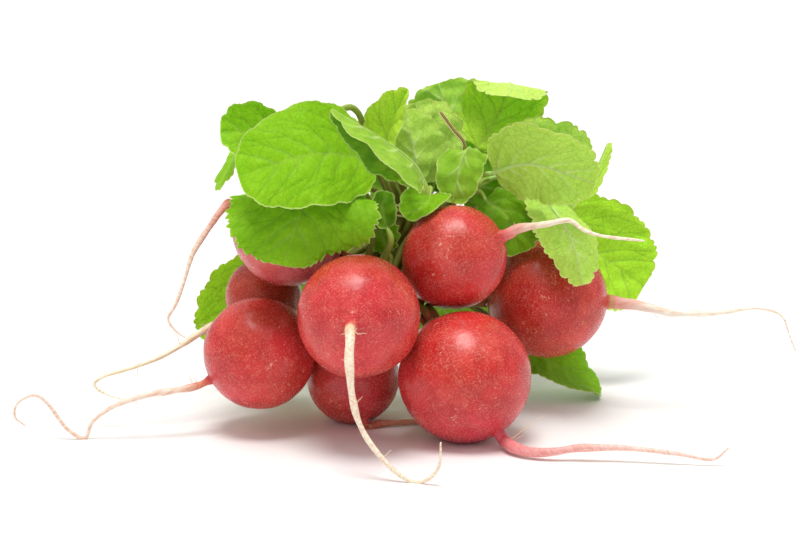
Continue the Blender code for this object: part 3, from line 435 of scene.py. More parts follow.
def near_pairs(places, size, owner):
    """Pairs of places on different things that are close enough to matter. Owners below 0 keep still."""
    firsts, seconds = [], []
    groups = {name: np.nonzero(owner == name)[0] for name in np.unique(owner)}
    low = {name: places[group].min(axis=0) - PAIRS_MARGIN - 2 for name, group in groups.items()}
    high = {name: places[group].max(axis=0) + 2 for name, group in groups.items()}
    for a, b in itertools.combinations(groups, 2):
        if (a < 0 and b < 0) or not ((low[a] < high[b]).all() and (low[b] < high[a]).all()):
            continue
        first = inside_box(places, groups[a], low[b], high[b] + PAIRS_MARGIN)
        second = inside_box(places, groups[b], low[a], high[a] + PAIRS_MARGIN)
        apart = places[first][:, None, :] - places[second][None, :, :]
        distance = np.sqrt((apart * apart).sum(axis=2))
        rows, columns = np.nonzero(distance < size[first][:, None] + size[second][None, :] + PAIRS_MARGIN)
        firsts.append(first[rows])
        seconds.append(second[columns])
    return np.concatenate(firsts), np.concatenate(seconds)


def part_pairs(places, size, owner, pairs):
    """The shove on each place that parts the pairs that are too close."""
    first, second = pairs
    apart = places[first] - places[second]
    distance = np.linalg.norm(apart, axis=1) + 1e-9
    lack = size[first] + size[second] - distance
    close = lack > 0
    first, second = first[close], second[close]
    shove = apart[close] / distance[close][:, None] * lack[close][:, None]
    total = np.zeros_like(places)
    count = np.zeros(len(places))
    lone_first = np.where(owner[second] < 0, 1.0, 0.5)[:, None]
    lone_second = np.where(owner[first] < 0, 1.0, 0.5)[:, None]
    np.add.at(total, first, shove * lone_first)
    np.add.at(total, second, -shove * lone_second)
    np.add.at(count, first, 1)
    np.add.at(count, second, 1)
    return total / np.maximum(count, 1)[:, None]


def tie_places():
    """Places on the tie's ring that leaves keep clear of."""
    axis = unit(TIE_AXIS)
    right, up = square_to(axis)
    angles = np.linspace(0, 2 * math.pi, 40, endpoint=False)
    ring = np.outer(np.cos(angles), right) + np.outer(np.sin(angles), up)
    return np.vstack([TIE_CENTRE + axis * level + (TIE_RADIUS + 0.4) * ring for level in (-1.0, 1.0)])


def keep_in_tie(stalk):
    """Brings the tied part of a stalk inside the tie's ring."""
    axis = unit(TIE_AXIS)
    offset = stalk - np.array(TIE_CENTRE)
    height = offset @ axis
    flat = offset - np.outer(height, axis)
    reach = np.linalg.norm(flat, axis=1)
    limit = TIE_RADIUS - 1.35 + 0.35 * np.maximum(np.abs(height) - 2.5, 0)
    over = np.maximum(reach - limit, 0) * (np.abs(height) < 5) * (reach < TIE_RADIUS + 6)
    return -flat / np.maximum(reach, 1e-9)[:, None] * over[:, None]


def keep_off_bulbs(places, clearance):
    """Shoves places out of every bulb and off the table; a stalk's first places stay on their crown."""
    shove = np.zeros_like(places)
    for root in ROOTS.values():
        axis = root_axis(root)
        offset = places - np.array(root[0])
        along = offset @ axis
        scaled = offset + np.outer(along * (1 / root[2] - 1), axis)
        distance = np.linalg.norm(scaled, axis=1)
        lack = root[1] + clearance + 0.4 - distance
        lack[:STALK_FIXED] = 0
        shove += offset / np.maximum(distance, 1e-9)[:, None] * np.maximum(lack, 0)[:, None]
    shove[:, 2] += np.maximum(TABLE_CLEARANCE - places[:, 2], 0)
    return shove


def smooth_stalk(shift):
    """Evens the shift along a stalk, whose first two places stay where they are."""
    inner = shift.copy()
    inner[1:-1] = 0.5 * shift[1:-1] + 0.25 * (shift[:-2] + shift[2:])
    inner[:2] = 0
    return inner


def smooth_blade(shift):
    """Evens the shift over a blade."""
    padded = np.pad(shift, ((1, 1), (1, 1), (0, 0)), mode="edge")
    around = (padded[:-2, 1:-1] + padded[2:, 1:-1] + padded[1:-1, :-2] + padded[1:-1, 2:]) / 4
    return 0.5 * shift + 0.5 * around


def still_places():
    """Places that leaves keep clear of on taproots and the tie, with their clearances and owners."""
    still = [tail_places(root) for root in ROOTS.values()]
    clear = [TAIL_CLEARANCE] * len(still) + [1.0, 1.6, 1.4]
    still += [tie_places()] + [route(points, 24)[6:] for points, _ in TIE_ENDS.values()]
    sizes = [np.full(len(path), size) for path, size in zip(still, clear)]
    owners = [np.full(len(path), -1 - index) for index, path in enumerate(still)]
    return np.vstack(still), np.concatenate(sizes), np.concatenate(owners)


def push_leaf(leaf, places, push, stalk, blade, even):
    """Adds a push to the shifts of one leaf's stalk and blade, keeps them joined and evens them."""
    count = SETTLE_STALK - 1
    stalk[:-1] += push[:count]
    if leaf.tied:
        stalk[:-1] += keep_in_tie(places[:count])
    blade += push[count:].reshape(blade.shape)
    joined_at = 0.5 * (blade[0, SETTLE_COLUMNS // 2] + stalk[-2])
    stalk[-1] = joined_at
    blade[0] = joined_at
    blade[-1] = blade[-2:].mean(axis=(0, 1))
    stalk += even * (smooth_stalk(stalk) - stalk)
    blade += even * (smooth_blade(blade) - blade)


def settle(leaves):
    """Pushes stalks and blades apart from each other, the bulbs, the taproots, the tie and the table,
    over a fixed number of steps.
    """
    blades = [leaf.grid(2 * leaf.teeth + 1, SETTLE_COLUMNS) for leaf in leaves]
    blade_shift = [np.zeros_like(blade) for blade in blades]
    stalk_shift = [np.zeros_like(leaf.stalk) for leaf in leaves]
    still, still_size, still_owner = still_places()
    sizes = [np.repeat([STALK_CLEARANCE, BLADE_CLEARANCE], [SETTLE_STALK - 1, blade[..., 0].size])
             for blade in blades]
    size = np.concatenate(sizes + [still_size])
    owner = np.concatenate([np.full(len(own), index) for index, own in enumerate(sizes)] + [still_owner])
    ends = np.cumsum([len(own) for own in sizes])
    for step in range(SETTLE_STEPS):
        moving = [np.vstack([(leaf.stalk + ss)[:-1], (blade + bs).reshape(-1, 3)])
                  for leaf, blade, bs, ss in zip(leaves, blades, blade_shift, stalk_shift)]
        places = np.vstack(moving + [still])
        if step % PAIRS_KEPT == 0:
            pairs = near_pairs(places, size, owner)
        shove = part_pairs(places, size, owner, pairs)
        even = max(0.06, 1 - 1.4 * step / SETTLE_STEPS)
        for leaf, mine, end, bs, ss in zip(leaves, moving, ends, blade_shift, stalk_shift):
            own = slice(end - len(mine), end)
            push = SETTLE_PUSH * (shove[own] + keep_off_bulbs(mine, size[own]))
            push_leaf(leaf, mine, push, ss, bs, even)
    for leaf, bs, ss in zip(leaves, blade_shift, stalk_shift):
        bs[0] = ss[-1]
        leaf.shift = bs
        leaf.stalk = leaf.stalk + ss


# Finer meshes.

def spread(values, places):
    """Values known at even steps from 0 to 1, read smoothly at any places between."""
    last = len(values) - 1
    spots = np.clip(np.asarray(places) * last, 0, last - 1e-9)
    index = spots.astype(int)
    part = (spots - index).reshape((-1,) + (1,) * (values.ndim - 1))
    a, b, c, d = (values[np.clip(index + step, 0, last)] for step in (-1, 0, 1, 2))
    return 0.5 * (2 * b + (c - a) * part + (2 * a - 5 * b + 4 * c - d) * part ** 2
                  + (3 * b - 3 * c + d - a) * part ** 3)


def ripple(places, seed, length, waves=9):
    """A smooth uneven value for each place, between about -1 and 1, over the given length."""
    draw = np.random.default_rng(seed)
    total = np.zeros(len(places))
    for _ in range(waves):
        direction = draw.normal(size=3)
        direction *= draw.uniform(0.6, 1.5) / np.linalg.norm(direction)
        total += np.sin(places @ direction * (2 * math.pi / length) + draw.uniform(0, 2 * math.pi))
    return total / math.sqrt(waves / 2) / 1.6


def grid_faces(rows, columns, start, closed):
    """Four-sided faces of a grid of points stored row by row; closed joins the last column to the first."""
    across = columns if closed else columns - 1
    row, column = np.meshgrid(np.arange(rows - 1), np.arange(across), indexing="ij")
    after = (column + 1) % columns
    a, b = row * columns + column, row * columns + after
    return np.stack([a, b, b + columns, a + columns], axis=-1).reshape(-1, 4) + start


def carried_sides(path):
    """Two directions square to a path at each of its places, carried along it without twisting."""
    forward = directions(path)
    side = square_to(forward[0])[0]
    sides = []
    for ahead in forward:
        side = unit(side - ahead * np.dot(side, ahead))
        sides.append(side)
    sides = np.array(sides)
    return sides, np.cross(forward, sides)


def ring_points(path, radii, sides):
    """Rings of points round a path."""
    right, up = carried_sides(path)
    angles = 2 * math.pi * np.arange(sides) / sides
    out = right[:, None] * np.cos(angles)[:, None] + up[:, None] * np.sin(angles)[:, None]
    return path[:, None] + out * np.asarray(radii)[:, None, None]


def placed(name, data):
    """A new object in the scene."""
    body = bpy.data.objects.new(name, data)
    bpy.context.scene.collection.objects.link(body)
    return body


class Soup:
    """Points, faces and per-point values gathered for one mesh."""

    def __init__(self):
        self.points = []
        self.faces = []
        self.values = {}
        self.count = 0

    def add(self, points, quads, caps=(), **values):
        """Adds a shell; values are one number, or one row of three, for each point or for all of them."""
        self.points.append(points)
        self.faces += (np.asarray(quads) + self.count).tolist()
        self.faces += [[int(i) + self.count for i in cap] for cap in caps]
        for name, value in values.items():
            value = np.asarray(value, dtype=float)
            wide = 3 if value.ndim == 2 or value.shape == (3,) else 1
            full = np.broadcast_to(value, (len(points), wide) if wide == 3 else (len(points),))
            self.values.setdefault(name, []).append(full)
        self.count += len(points)

    def tube(self, rings, **values):
        """Adds a closed tube of rings."""
        rows, sides = rings.shape[:2]
        caps = (range(sides), range(rows * sides - 1, (rows - 1) * sides - 1, -1))
        self.add(rings.reshape(-1, 3), grid_faces(rows, sides, 0, True)[:, ::-1], caps, **values)

    def piece(self, node, material):
        """The finished piece, riding on the bunch in place of its solid."""
        mesh = bpy.data.meshes.new("visual_" + node)
        points = (np.vstack(self.points) - MIDDLE) * MM
        points[:, 2] = np.maximum(points[:, 2], 0)
        mesh.from_pydata(points.tolist(), [], self.faces)
        for key, parts in self.values.items():
            wide = parts[0].ndim == 2
            layer = mesh.attributes.new(key, "FLOAT_VECTOR" if wide else "FLOAT", "POINT")
            data = np.concatenate(parts).astype(np.float32)
            layer.data.foreach_set("vector" if wide else "value", data.ravel())
        mesh.polygons.foreach_set("use_smooth", [True] * len(mesh.polygons))
        mesh.materials.append(material)
        mesh.update()
        body = placed("visual_" + node, mesh)
        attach(body, "root")
        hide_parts(node)


# Roots.

# name: colours of the neck and of the taproot further out, distance in mm over which one gives way
#       to the other, and how dark and brown the skin is; on root_left_back, in the shade at the back
#       of the bunch, that dark brown is partly painted shade.
ROOT_LOOK = {
    "root_top": ((0.80, 0.26, 0.24), (0.95, 0.90, 0.72), 9, 0.0),
    "root_front": ((0.90, 0.66, 0.42), (0.93, 0.85, 0.68), 5, 0.0),
    "root_left": ((0.76, 0.28, 0.16), (0.92, 0.76, 0.64), 7, 0.12),
    "root_right_front": ((0.80, 0.17, 0.22), (0.94, 0.70, 0.62), 40, 0.0),
    "root_right_back": ((0.85, 0.40, 0.34), (0.97, 0.94, 0.82), 13, 0.25),
    "root_low": ((0.58, 0.18, 0.12), (0.66, 0.42, 0.28), 20, 0.2),
    "root_upper_left": ((0.72, 0.20, 0.18), (0.92, 0.78, 0.64), 20, 0.0),
    "root_left_back": ((0.66, 0.42, 0.24), (0.90, 0.88, 0.66), 8, 0.7),
}
SKIN_RED = np.array((0.62, 0.022, 0.020))
SKIN_PINK = np.array((0.66, 0.040, 0.085))
SKIN_BROWN_AND_SHADE = np.array((0.44, 0.085, 0.022))
TOP_PALE_PINK = np.array((0.80, 0.26, 0.30))
COLLAR_GREEN = np.array((0.50, 0.52, 0.16))
CROWN_GREEN = np.array((0.45, 0.42, 0.18))
PALE_TOPPED = "root_upper_left"
COLLARED = "root_right_back"
SKIN_APART = 37.0
ROOT_SIDES = 72
BULB_RINGS = 64
BULB_END = 0.2
NECK_REACH = 3.0
TAIL_SWELL = 1.04
TAIL_RING_STEP = 0.55


def smooth_larger(first, second, reach):
    """The larger of two lengths, rounded where they are nearly equal."""
    return 0.5 * (first + second + np.sqrt((first - second) ** 2 + reach ** 2))


def bulb_sections(root):
    """Heights along the axis and ring radii of a bulb from its crown boss to the root of its taproot."""
    radius, half, neck = root[1], root[1] * root[2], root[4][0]
    shoulder = math.asin((CROWN_RADIUS + 0.5) / radius)
    boss_depths = (0.55, 0.5, 0.42, 0.2, 0.12 - half * (1 - math.cos(shoulder)))
    boss_radii = (0.3, 1.6, 2.4, CROWN_RADIUS - 0.1, CROWN_RADIUS + 0.15)
    angles = np.linspace(shoulder, math.pi - BULB_END, BULB_RINGS)
    past_end = half * math.cos(BULB_END) + np.arange(0.3, NECK_REACH, 0.3)
    heights = np.concatenate([-half * np.cos(angles), past_end])
    plain = radius * np.sqrt(np.maximum(1 - (heights / half) ** 2, 0))
    past = np.maximum(heights - half, 0)
    reach = 1.5 * np.exp(-(past / 1.3) ** 2) * (heights > 0)
    radii = np.where(heights > half * 0.6, smooth_larger(plain, neck * TAIL_SWELL, reach), plain)
    return np.concatenate([-half - np.array(boss_depths), heights]), np.concatenate([boss_radii, radii])


def fine_tail(root, start):
    """The taproot's line, radii and length, from a height along the bulb's axis to its tip."""
    centre, first = np.array(root[0]), np.array(root[3][0])
    points = [centre + root_axis(root) * start]
    if np.linalg.norm(first - centre) > start + 0.8:
        points.append(first)
    points += root[3][1:]
    length = run_along(route(points, ROUTE_TRIAL))[-1]
    count = int(length / TAIL_RING_STEP)
    share = np.linspace(0, 1, count)
    neck, tip, thinning = root[4]
    radii = (tip + (neck - tip) * (1 - share) ** thinning) * (1 - 0.55 * share ** 12)
    return route(points, count), radii, length


def mixed(share, first, second):
    """Two colours mixed for each place."""
    return first + (second - first) * share[:, None]


def root_colours(name, root, index, height, local, onward):
    """The colour of the skin at each place, and its share of taproot.

    height is above the table, local is measured from the bulb's centre and onward is out along the taproot.
    """
    half = root[1] * root[2]
    along = local @ root_axis(root)
    neck, far, reach, brown_and_shade = ROOT_LOOK[name]
    towards_tail = np.clip((along / half - 0.2) / 0.8, 0, 1)
    below = np.clip(0.5 - height / 55 + 0.25 * ripple(local, index + 7, 26), 0, 1)
    skin = mixed(np.clip(0.75 * below + 0.35 * towards_tail, 0, 1), SKIN_RED, SKIN_PINK)
    # Darker brown skin, which on the bulb at the back is partly painted shade.
    skin = mixed(np.clip(brown_and_shade + 0.18 * ripple(local, index + 9, 20), 0, 1), skin, SKIN_BROWN_AND_SHADE)
    crown = np.clip(1 - (along + half * 0.985) / 1.1, 0, 1) * (onward == 0)
    skin = mixed(crown, skin, CROWN_GREEN)
    # Paler pink towards the top of this one bulb, set by height above the table.
    if name == PALE_TOPPED:
        paler_top = np.clip(height / 12 - 2.6 + 0.3 * ripple(local, 77, 14), 0, 1)
        skin = mixed(0.55 * paler_top, skin, TOP_PALE_PINK)
    past_neck = np.clip((onward + along.clip(half * 0.96) - half * 0.99) / 2.6, 0, 1)
    past_neck = np.where((onward > 0) | (along > 0), past_neck, 0)
    tail = mixed(np.clip(onward / reach, 0, 1) ** 0.8, np.array(neck), np.array(far))
    tint = mixed(past_neck ** 1.3, skin, tail)
    if name == COLLARED:
        collar = np.exp(-((onward + along - half - 1.1) / 0.55) ** 2) * (onward < 4)
        tint = mixed(0.8 * collar, tint, COLLAR_GREEN)
    return tint, past_neck


def add_root(soup, name, root, index):
    """A bulb and its taproot as one skin, with side rootlets."""
    centre, axis = np.array(root[0]), root_axis(root)
    heights, bulb_radii = bulb_sections(root)
    path, tail_radii, length = fine_tail(root, heights[-1])
    line = np.vstack([centre + np.outer(heights, axis), path[1:]])
    radii = np.concatenate([bulb_radii, tail_radii[1:] * TAIL_SWELL])
    places = ring_points(line, radii, ROOT_SIDES).reshape(-1, 3)
    bulb, rings = len(heights), len(line)
    steps_out = np.maximum(np.arange(rings) - bulb + 1, 0)
    onward = np.repeat(steps_out * (length / (rings - bulb)), ROOT_SIDES)
    local = places - centre
    along = local @ axis
    outward = places - np.repeat(line, ROOT_SIDES, axis=0)
    outward /= np.maximum(np.linalg.norm(outward, axis=1, keepdims=True), 1e-6)
    on_bulb = (onward == 0) & (along > -root[1] * root[2] * 0.97)
    lumps = 0.16 * ripple(local, index, 17) + 0.05 * ripple(local, index + 40, 5)
    lumps *= np.where(on_bulb, 1, 0.25)
    lumps += 0.14 * ripple(places, index + 80, 7) * np.repeat(radii, ROOT_SIDES) * (onward > 0)
    places = places + outward * lumps[:, None]
    tint, tail = root_colours(name, root, index, places[:, 2], local, onward)
    right, up = square_to(axis)
    grain = np.stack([local @ right, local @ up, along], axis=1) + index * SKIN_APART
    soup.tube(places.reshape(rings, ROOT_SIDES, 3), tint=tint, grain=grain, tail=tail)
    add_rootlets(soup, name, line[bulb:], radii[bulb:], index)


# name: for each side rootlet, how far along the taproot it starts in mm, which way it heads,
#       its length in mm, how much it curls, and its thickness.
ROOTLETS = {
    "root_front": ((0.2, (0.9, -0.5, 0.25), 5, 0.9, 0.16), (0.5, (0.8, -0.5, 0.6), 3, 0.9, 0.14),
                   (0.4, (-0.7, -0.6, 0.3), 2.2, 0.8, 0.12), (20, (0.5, -0.1, 0.9), 4, 0.7, 0.14),
                   (33, (0.6, 0.2, 0.7), 3, 0.7, 0.12)),
    "root_right_front": ((0.6, (0.15, -0.85, 0.40), 6, 1.2, 0.19), (1.0, (0.5, -0.7, 0.45), 5.5, 1.3, 0.17),
                         (1.8, (0.75, -0.3, 0.6), 4.5, 1.0, 0.15), (0.9, (0.8, 0.35, 0.5), 11, 0.25, 0.2),
                         (2.5, (-0.2, -0.9, 0.3), 2.5, 1.1, 0.12), (24, (0.2, -0.9, 0.2), 4, 0.8, 0.12)),
    "root_top": ((1.0, (0.1, -0.6, 0.8), 2.4, 0.8, 0.12), (6, (0.3, -0.4, -0.8), 2.0, 0.8, 0.1)),
    "root_left": ((0.4, (-0.4, -0.5, 0.8), 3, 0.9, 0.12), (0.9, (-0.6, -0.6, -0.4), 3, 1.0, 0.12),
                  (1.5, (-0.5, 0.2, 0.8), 4, 0.8, 0.1), (16, (-0.5, -0.6, -0.5), 4, 0.8, 0.1)),
    "root_right_back": ((0.5, (0.2, -0.8, 0.4), 2.5, 0.9, 0.14), (9, (0.5, -0.3, -0.8), 3, 0.8, 0.12)),
    "root_low": ((1.0, (-0.2, -0.9, 0.2), 4, 0.9, 0.12),),
    "root_upper_left": ((1.0, (-0.5, -0.6, 0.7), 2.4, 0.9, 0.12), (18, (0.3, -0.8, -0.3), 4, 0.8, 0.1)),
    "root_left_back": ((4, (-0.3, -0.8, 0.5), 4, 0.8, 0.12), (14, (-0.4, -0.4, 0.8), 5, 0.6, 0.1),
                       (26, (-0.5, -0.3, -0.8), 4, 0.8, 0.1)),
}
ROOTLET_TINT = (0.86, 0.74, 0.52)
ROOTLET_STEPS = 14
ROOTLET_RINGS = 24
ROOTLET_SIDES = 6
ROOTLET_END = 0.05


def add_rootlets(soup, name, line, radii, index):
    """Thin curling side rootlets sunk into the taproot."""
    run = run_along(line)
    for order, (start, heading, length, curl, thick) in enumerate(ROOTLETS[name]):
        draw = np.random.default_rng(100 * index + order)
        at = min(int(np.searchsorted(run, start)), len(line) - 2)
        heading = unit(heading)
        swing = unit(np.cross(heading, draw.normal(size=3)))
        place = line[at] + heading * radii[at] * 0.3
        points = [place]
        for step in range(ROOTLET_STEPS):
            turn = 0.33 * math.sin(0.605 * step + order) * swing + 0.12 * draw.normal(size=3)
            heading = unit(heading + curl * turn)
            place = place + heading * length / ROOTLET_STEPS
            place[2] = max(place[2], thick + 0.05)
            points.append(place)
        widths = np.linspace(thick, ROOTLET_END, ROOTLET_RINGS)
        rings = ring_points(route(points, ROOTLET_RINGS), widths, ROOTLET_SIDES)
        soup.tube(rings, tint=ROOTLET_TINT, grain=(0.0, 0.0, 0.0), tail=1.0)


# Leaves.

LEAF_STEP = 0.36
BACK_LEAF_STEP = 0.5
RIM_THICKNESS = 0.16
LAMINA_THICKNESS = 0.34
QUILT_HEIGHT = 0.26
EDGE_ONLY = 5
RUFFLE_HEIGHT, RUFFLE_LENGTH = 0.3, 8.5
STALK_ROOT = 1.1
STALK_PLACES, RIB_PLACES = 46, 34
STALK_RINGS = 84
STALK_SIDES = 10
RIB_END = 0.12
BACK_LEAVES = ("leaf_back_top", "leaf_back_middle", "leaf_back_left", "leaf_left_high", "leaf_back_right",
               "leaf_back_floor", "leaf_back_left_low")

# Tooth shapes along a leaf's edge: length in mm, height in mm, and whether each tooth is a forward point.
SMOOTH, SERRATED, SCALLOPED = (1.7, 0.3, False), (2.1, 1.15, True), (2.6, 1.0, False)
LEAF_TEETH = {
    "leaf_front_top": SMOOTH, "leaf_front_fold": SMOOTH, "leaf_front_low": SERRATED,
    "leaf_left_small": SMOOTH, "leaf_upright": SMOOTH, "leaf_small_low": SERRATED,
    "leaf_small_olive": SMOOTH, "leaf_curled": SMOOTH, "leaf_over_top_root": SMOOTH,
}

# name: how bright and yellow the leaf is, from 0 to 2, partly its own colour and partly painted light.
# Above 1 the upper face alone turns brighter, as painted light shining through the leaf; the lowest
# tones, as on leaf_right_dark and leaf_behind_top_root, paint the shade deep in the bunch.
LEAF_TONE_AND_LIGHT = {
    "leaf_front_top": 0.72, "leaf_front_low": 0.55, "leaf_front_fold": 0.12, "leaf_upright": 1.6,
    "leaf_left_small": 0.65, "leaf_left_edge": 0.75, "leaf_centre_back": 0.6, "leaf_centre_front": 1.1,
    "leaf_centre_left": 0.7, "leaf_top_fold": 1.65, "leaf_right_big": 0.75, "leaf_right_behind": 1.15,
    "leaf_right_dark": 0.0, "leaf_right_edge": 1.6, "leaf_right_low": 1.35, "leaf_right_hanging": 0.7,
    "leaf_behind_top_root": 0.3, "leaf_over_top_root": 0.0, "leaf_curled": 0.5,
    "leaf_small_olive": 0.1, "leaf_small_low": 0.3, "leaf_left_low": 1.2, "leaf_right_floor": 0.55,
    "leaf_back_middle": 0.2, "leaf_back_floor": 0.1,
}
PLAIN_TONE = 0.5

# Leaves whose blades start with two round lobes beside the stalk.
BROAD_BASE = ("leaf_back_middle", "leaf_right_dark")

# Leaves whose blades are crinkled, and the height and length of crinkles on those and on the others.
CRINKLED = ("leaf_centre_back", "leaf_centre_front", "leaf_centre_left", "leaf_over_top_root",
            "leaf_right_low")
CRINKLES, SOFT_CRINKLES = (0.42, 5.5), (0.12, 3.4)


def fine_edge(leaf, turns):
    """Across and along distances of the smooth edge for each turn, the teeth on it, and the run along it."""
    angle = math.pi * turns
    edge = plain_edge(leaf, angle)
    if leaf.name in BROAD_BASE:
        lobe = 1 + 0.3 * np.exp(-((turns - 0.15) / 0.15) ** 2)
        wide = leaf.half * lobe * np.maximum(np.sin(angle), 0) ** 0.3
        edge[:, 0] = np.where(turns < 0.5, wide, edge[:, 0])
        edge[:, 1] -= 3.2 * np.exp(-((turns - 0.15) / 0.09) ** 2)
    run = run_along(edge)
    outward = np.stack([np.gradient(edge[:, 1]), -np.gradient(edge[:, 0])], axis=1)
    outward /= np.maximum(np.linalg.norm(outward, axis=1, keepdims=True), 1e-9)
    pitch, rise, pointed = LEAF_TEETH.get(leaf.name, SCALLOPED)
    phase = run / run[-1] * max(6, round(run[-1] / pitch))
    phase = phase + 0.22 * np.sin(phase * 1.9 + leaf.half) + 0.15 * np.sin(phase * 0.73 + 2.0)
    within = phase % 1.0
    forward_points = np.minimum(within / 0.78, (1 - within) / 0.22)
    scallops = np.sqrt(np.sin(math.pi * within ** 0.8).clip(0))
    fine = (forward_points if pointed else scallops) - 0.5
    size = min(1.0, leaf.half / 8)
    reach = 0.75 * TOOTH_DEPTH * size * large_teeth(leaf, turns) + rise * (0.55 + 0.45 * size) * fine
    edge[:, 0] = not_below_stalk(edge[:, 0], turns)
    edge[0, 1] = 0.0
    return edge, outward * (reach * tooth_fade(turns))[:, None], run


def fine_blade(leaf, rows, columns):
    """The blade's middle surface, its flat coordinates in mm and the distance to its edge."""
    turns = np.linspace(0, 1, rows)[:, None]
    sides = np.linspace(-1, 1, columns)[None, :]
    share, sign = np.abs(sides), np.where(sides >= 0, 1.0, -1.0)
    smooth, teeth, run = fine_edge(leaf, turns[:, 0])
    middle = leaf.length * turns ** 1.25
    at_edge = share ** EDGE_ONLY
    across = smooth[:, :1] * share + teeth[:, :1] * at_edge
    along = middle + (smooth[:, 1:] - middle) * share + teeth[:, 1:] * at_edge
    phase = run[:, None] * (2 * math.pi / RUFFLE_LENGTH) + 2.0 * sign + leaf.half
    ruffle = RUFFLE_HEIGHT * np.sin(phase) * at_edge
    grid = leaf.bend(across, along, turns, sides, ruffle * np.sin(math.pi * turns))
    shift = spread(leaf.shift, turns[:, 0])
    shift = np.swapaxes(spread(np.swapaxes(shift, 0, 1), (sides[0] + 1) / 2), 0, 1)
    flat = np.stack([across * sign, along, np.zeros_like(across)], axis=-1)
    edge = np.hypot(across[:, -1:] - across, along[:, -1:] - along)
    return grid + shift, flat, edge


def grid_normals(grid, rows_to_hold=2):
    """The facing direction at each place of a grid, steadied at its narrow ends."""
    down = np.gradient(grid, axis=0)
    across = np.gradient(grid, axis=1)
    centre = grid.shape[1] // 2
    face = np.cross(across, down + 0.6 * down[:, centre:centre + 1])
    face /= np.maximum(np.linalg.norm(face, axis=2, keepdims=True), 1e-9)
    face[:rows_to_hold] = face[rows_to_hold, centre]
    face[-rows_to_hold:] = face[-rows_to_hold - 1, centre]
    return face


# Branches of a side vein: how far out each leaves it, and how much it turns away.
BRANCHES = ((0.28, -0.75), (0.45, 0.8), (0.62, -0.7), (0.75, 0.6))
VEIN_SPACING = 6.5
DARK_WIDTH, PALE_WIDTH, BRANCH_WIDTH = 0.17, 0.3, 0.15
STEEPEST_BRANCH = 1.35
FAR_AWAY = 9.0


def half_veins(leaf, out, along, wander, on_right, draw):
    """Shares of pale and dark vein over half a blade, and the distance in mm to the nearest vein."""
    pale, dark, nearest = np.zeros_like(out), np.zeros_like(out), out.copy()
    pairs = max(3, round(leaf.length / VEIN_SPACING))
    for pair in range(pairs):
        share = (pair + 0.2 + 0.45 * on_right + draw.uniform(-0.2, 0.2)) / pairs
        start = leaf.length * 0.8 * share
        rise = 0.45 + 0.75 * share + draw.uniform(-0.12, 0.12)
        bend = (0.26 + 0.3 * share) / leaf.half
        line = start + rise * out + bend * out ** 2 + wander * draw.uniform(0.5, 1.5)
        gap = np.abs(along - line) / np.sqrt(1 + (rise + 2 * bend * out) ** 2)
        fade = (1 - out / (leaf.half * draw.uniform(0.85, 1.1))).clip(0)
        near_rib = (1 - out / (0.45 * leaf.half)).clip(0)
        dark = np.maximum(dark, np.exp(-(gap / DARK_WIDTH) ** 2) * fade ** 0.4)
        pale = np.maximum(pale, np.exp(-(gap / PALE_WIDTH) ** 2) * near_rib)
        nearest = np.minimum(nearest, gap)
        for leave, turn in BRANCHES:
            root_out = leaf.half * (leave + draw.uniform(-0.08, 0.08))
            angle = math.atan(rise + 2 * bend * root_out) + draw.uniform(0.45, 0.75) * turn
            lean = math.tan(min(angle, STEEPEST_BRANCH))
            past = out - root_out
            line = start + rise * root_out + bend * root_out ** 2 + lean * past + 0.02 * past ** 2
            gap = np.where(past >= 0, np.abs(along - line) / math.sqrt(1 + lean ** 2), FAR_AWAY)
            fade = 0.75 * (1 - past / (0.6 * leaf.half)).clip(0)
            dark = np.maximum(dark, np.exp(-(gap / BRANCH_WIDTH) ** 2) * fade)
            nearest = np.minimum(nearest, gap + 0.3)
    return pale, dark, nearest


def vein_fields(leaf, flat, index):
    """Shares of pale main vein and of thin dark vein at each place, and how far it is from a vein in mm."""
    draw = np.random.default_rng(500 + index)
    across, along = flat[:, :, 0], flat[:, :, 1]
    out = np.abs(across)
    wander = 0.35 * np.sin(0.55 * out + index) + 0.2 * np.sin(1.3 * out + 2 * index)
    pale, dark, nearest = np.zeros_like(out), np.zeros_like(out), out.copy()
    for side in (-1, 1):
        here = across * side >= 0
        found = half_veins(leaf, out[here], along[here], wander[here], side > 0, draw)
        pale[here] = np.maximum(pale[here], found[0])
        dark[here] = np.maximum(dark[here], found[1])
        nearest[here] = np.minimum(nearest[here], found[2])
    width = 0.5 * (1 - 0.75 * along / leaf.length).clip(0.15)
    rib = np.exp(-(out / width) ** 2) * (1 - 0.6 * along / leaf.length).clip(0)
    return np.maximum(pale, rib), dark, nearest


def sheet_faces(rows, columns):
    """Faces of a thin sheet: its upper and lower grids, and the walls that join them along the edge."""
    total = rows * columns
    down, over = np.arange(rows) * columns, np.arange(columns)
    faces = [grid_faces(rows, columns, 0, False)[:, ::-1], grid_faces(rows, columns, total, False)]
    for line, flip in ((down, False), (down + columns - 1, True), (over, True), (over + down[-1], False)):
        a, b = line[:-1], line[1:]
        wall = np.stack([a, b, b + total, a + total], axis=1)
        faces.append(wall[:, ::-1] if flip else wall)
    return np.vstack(faces)


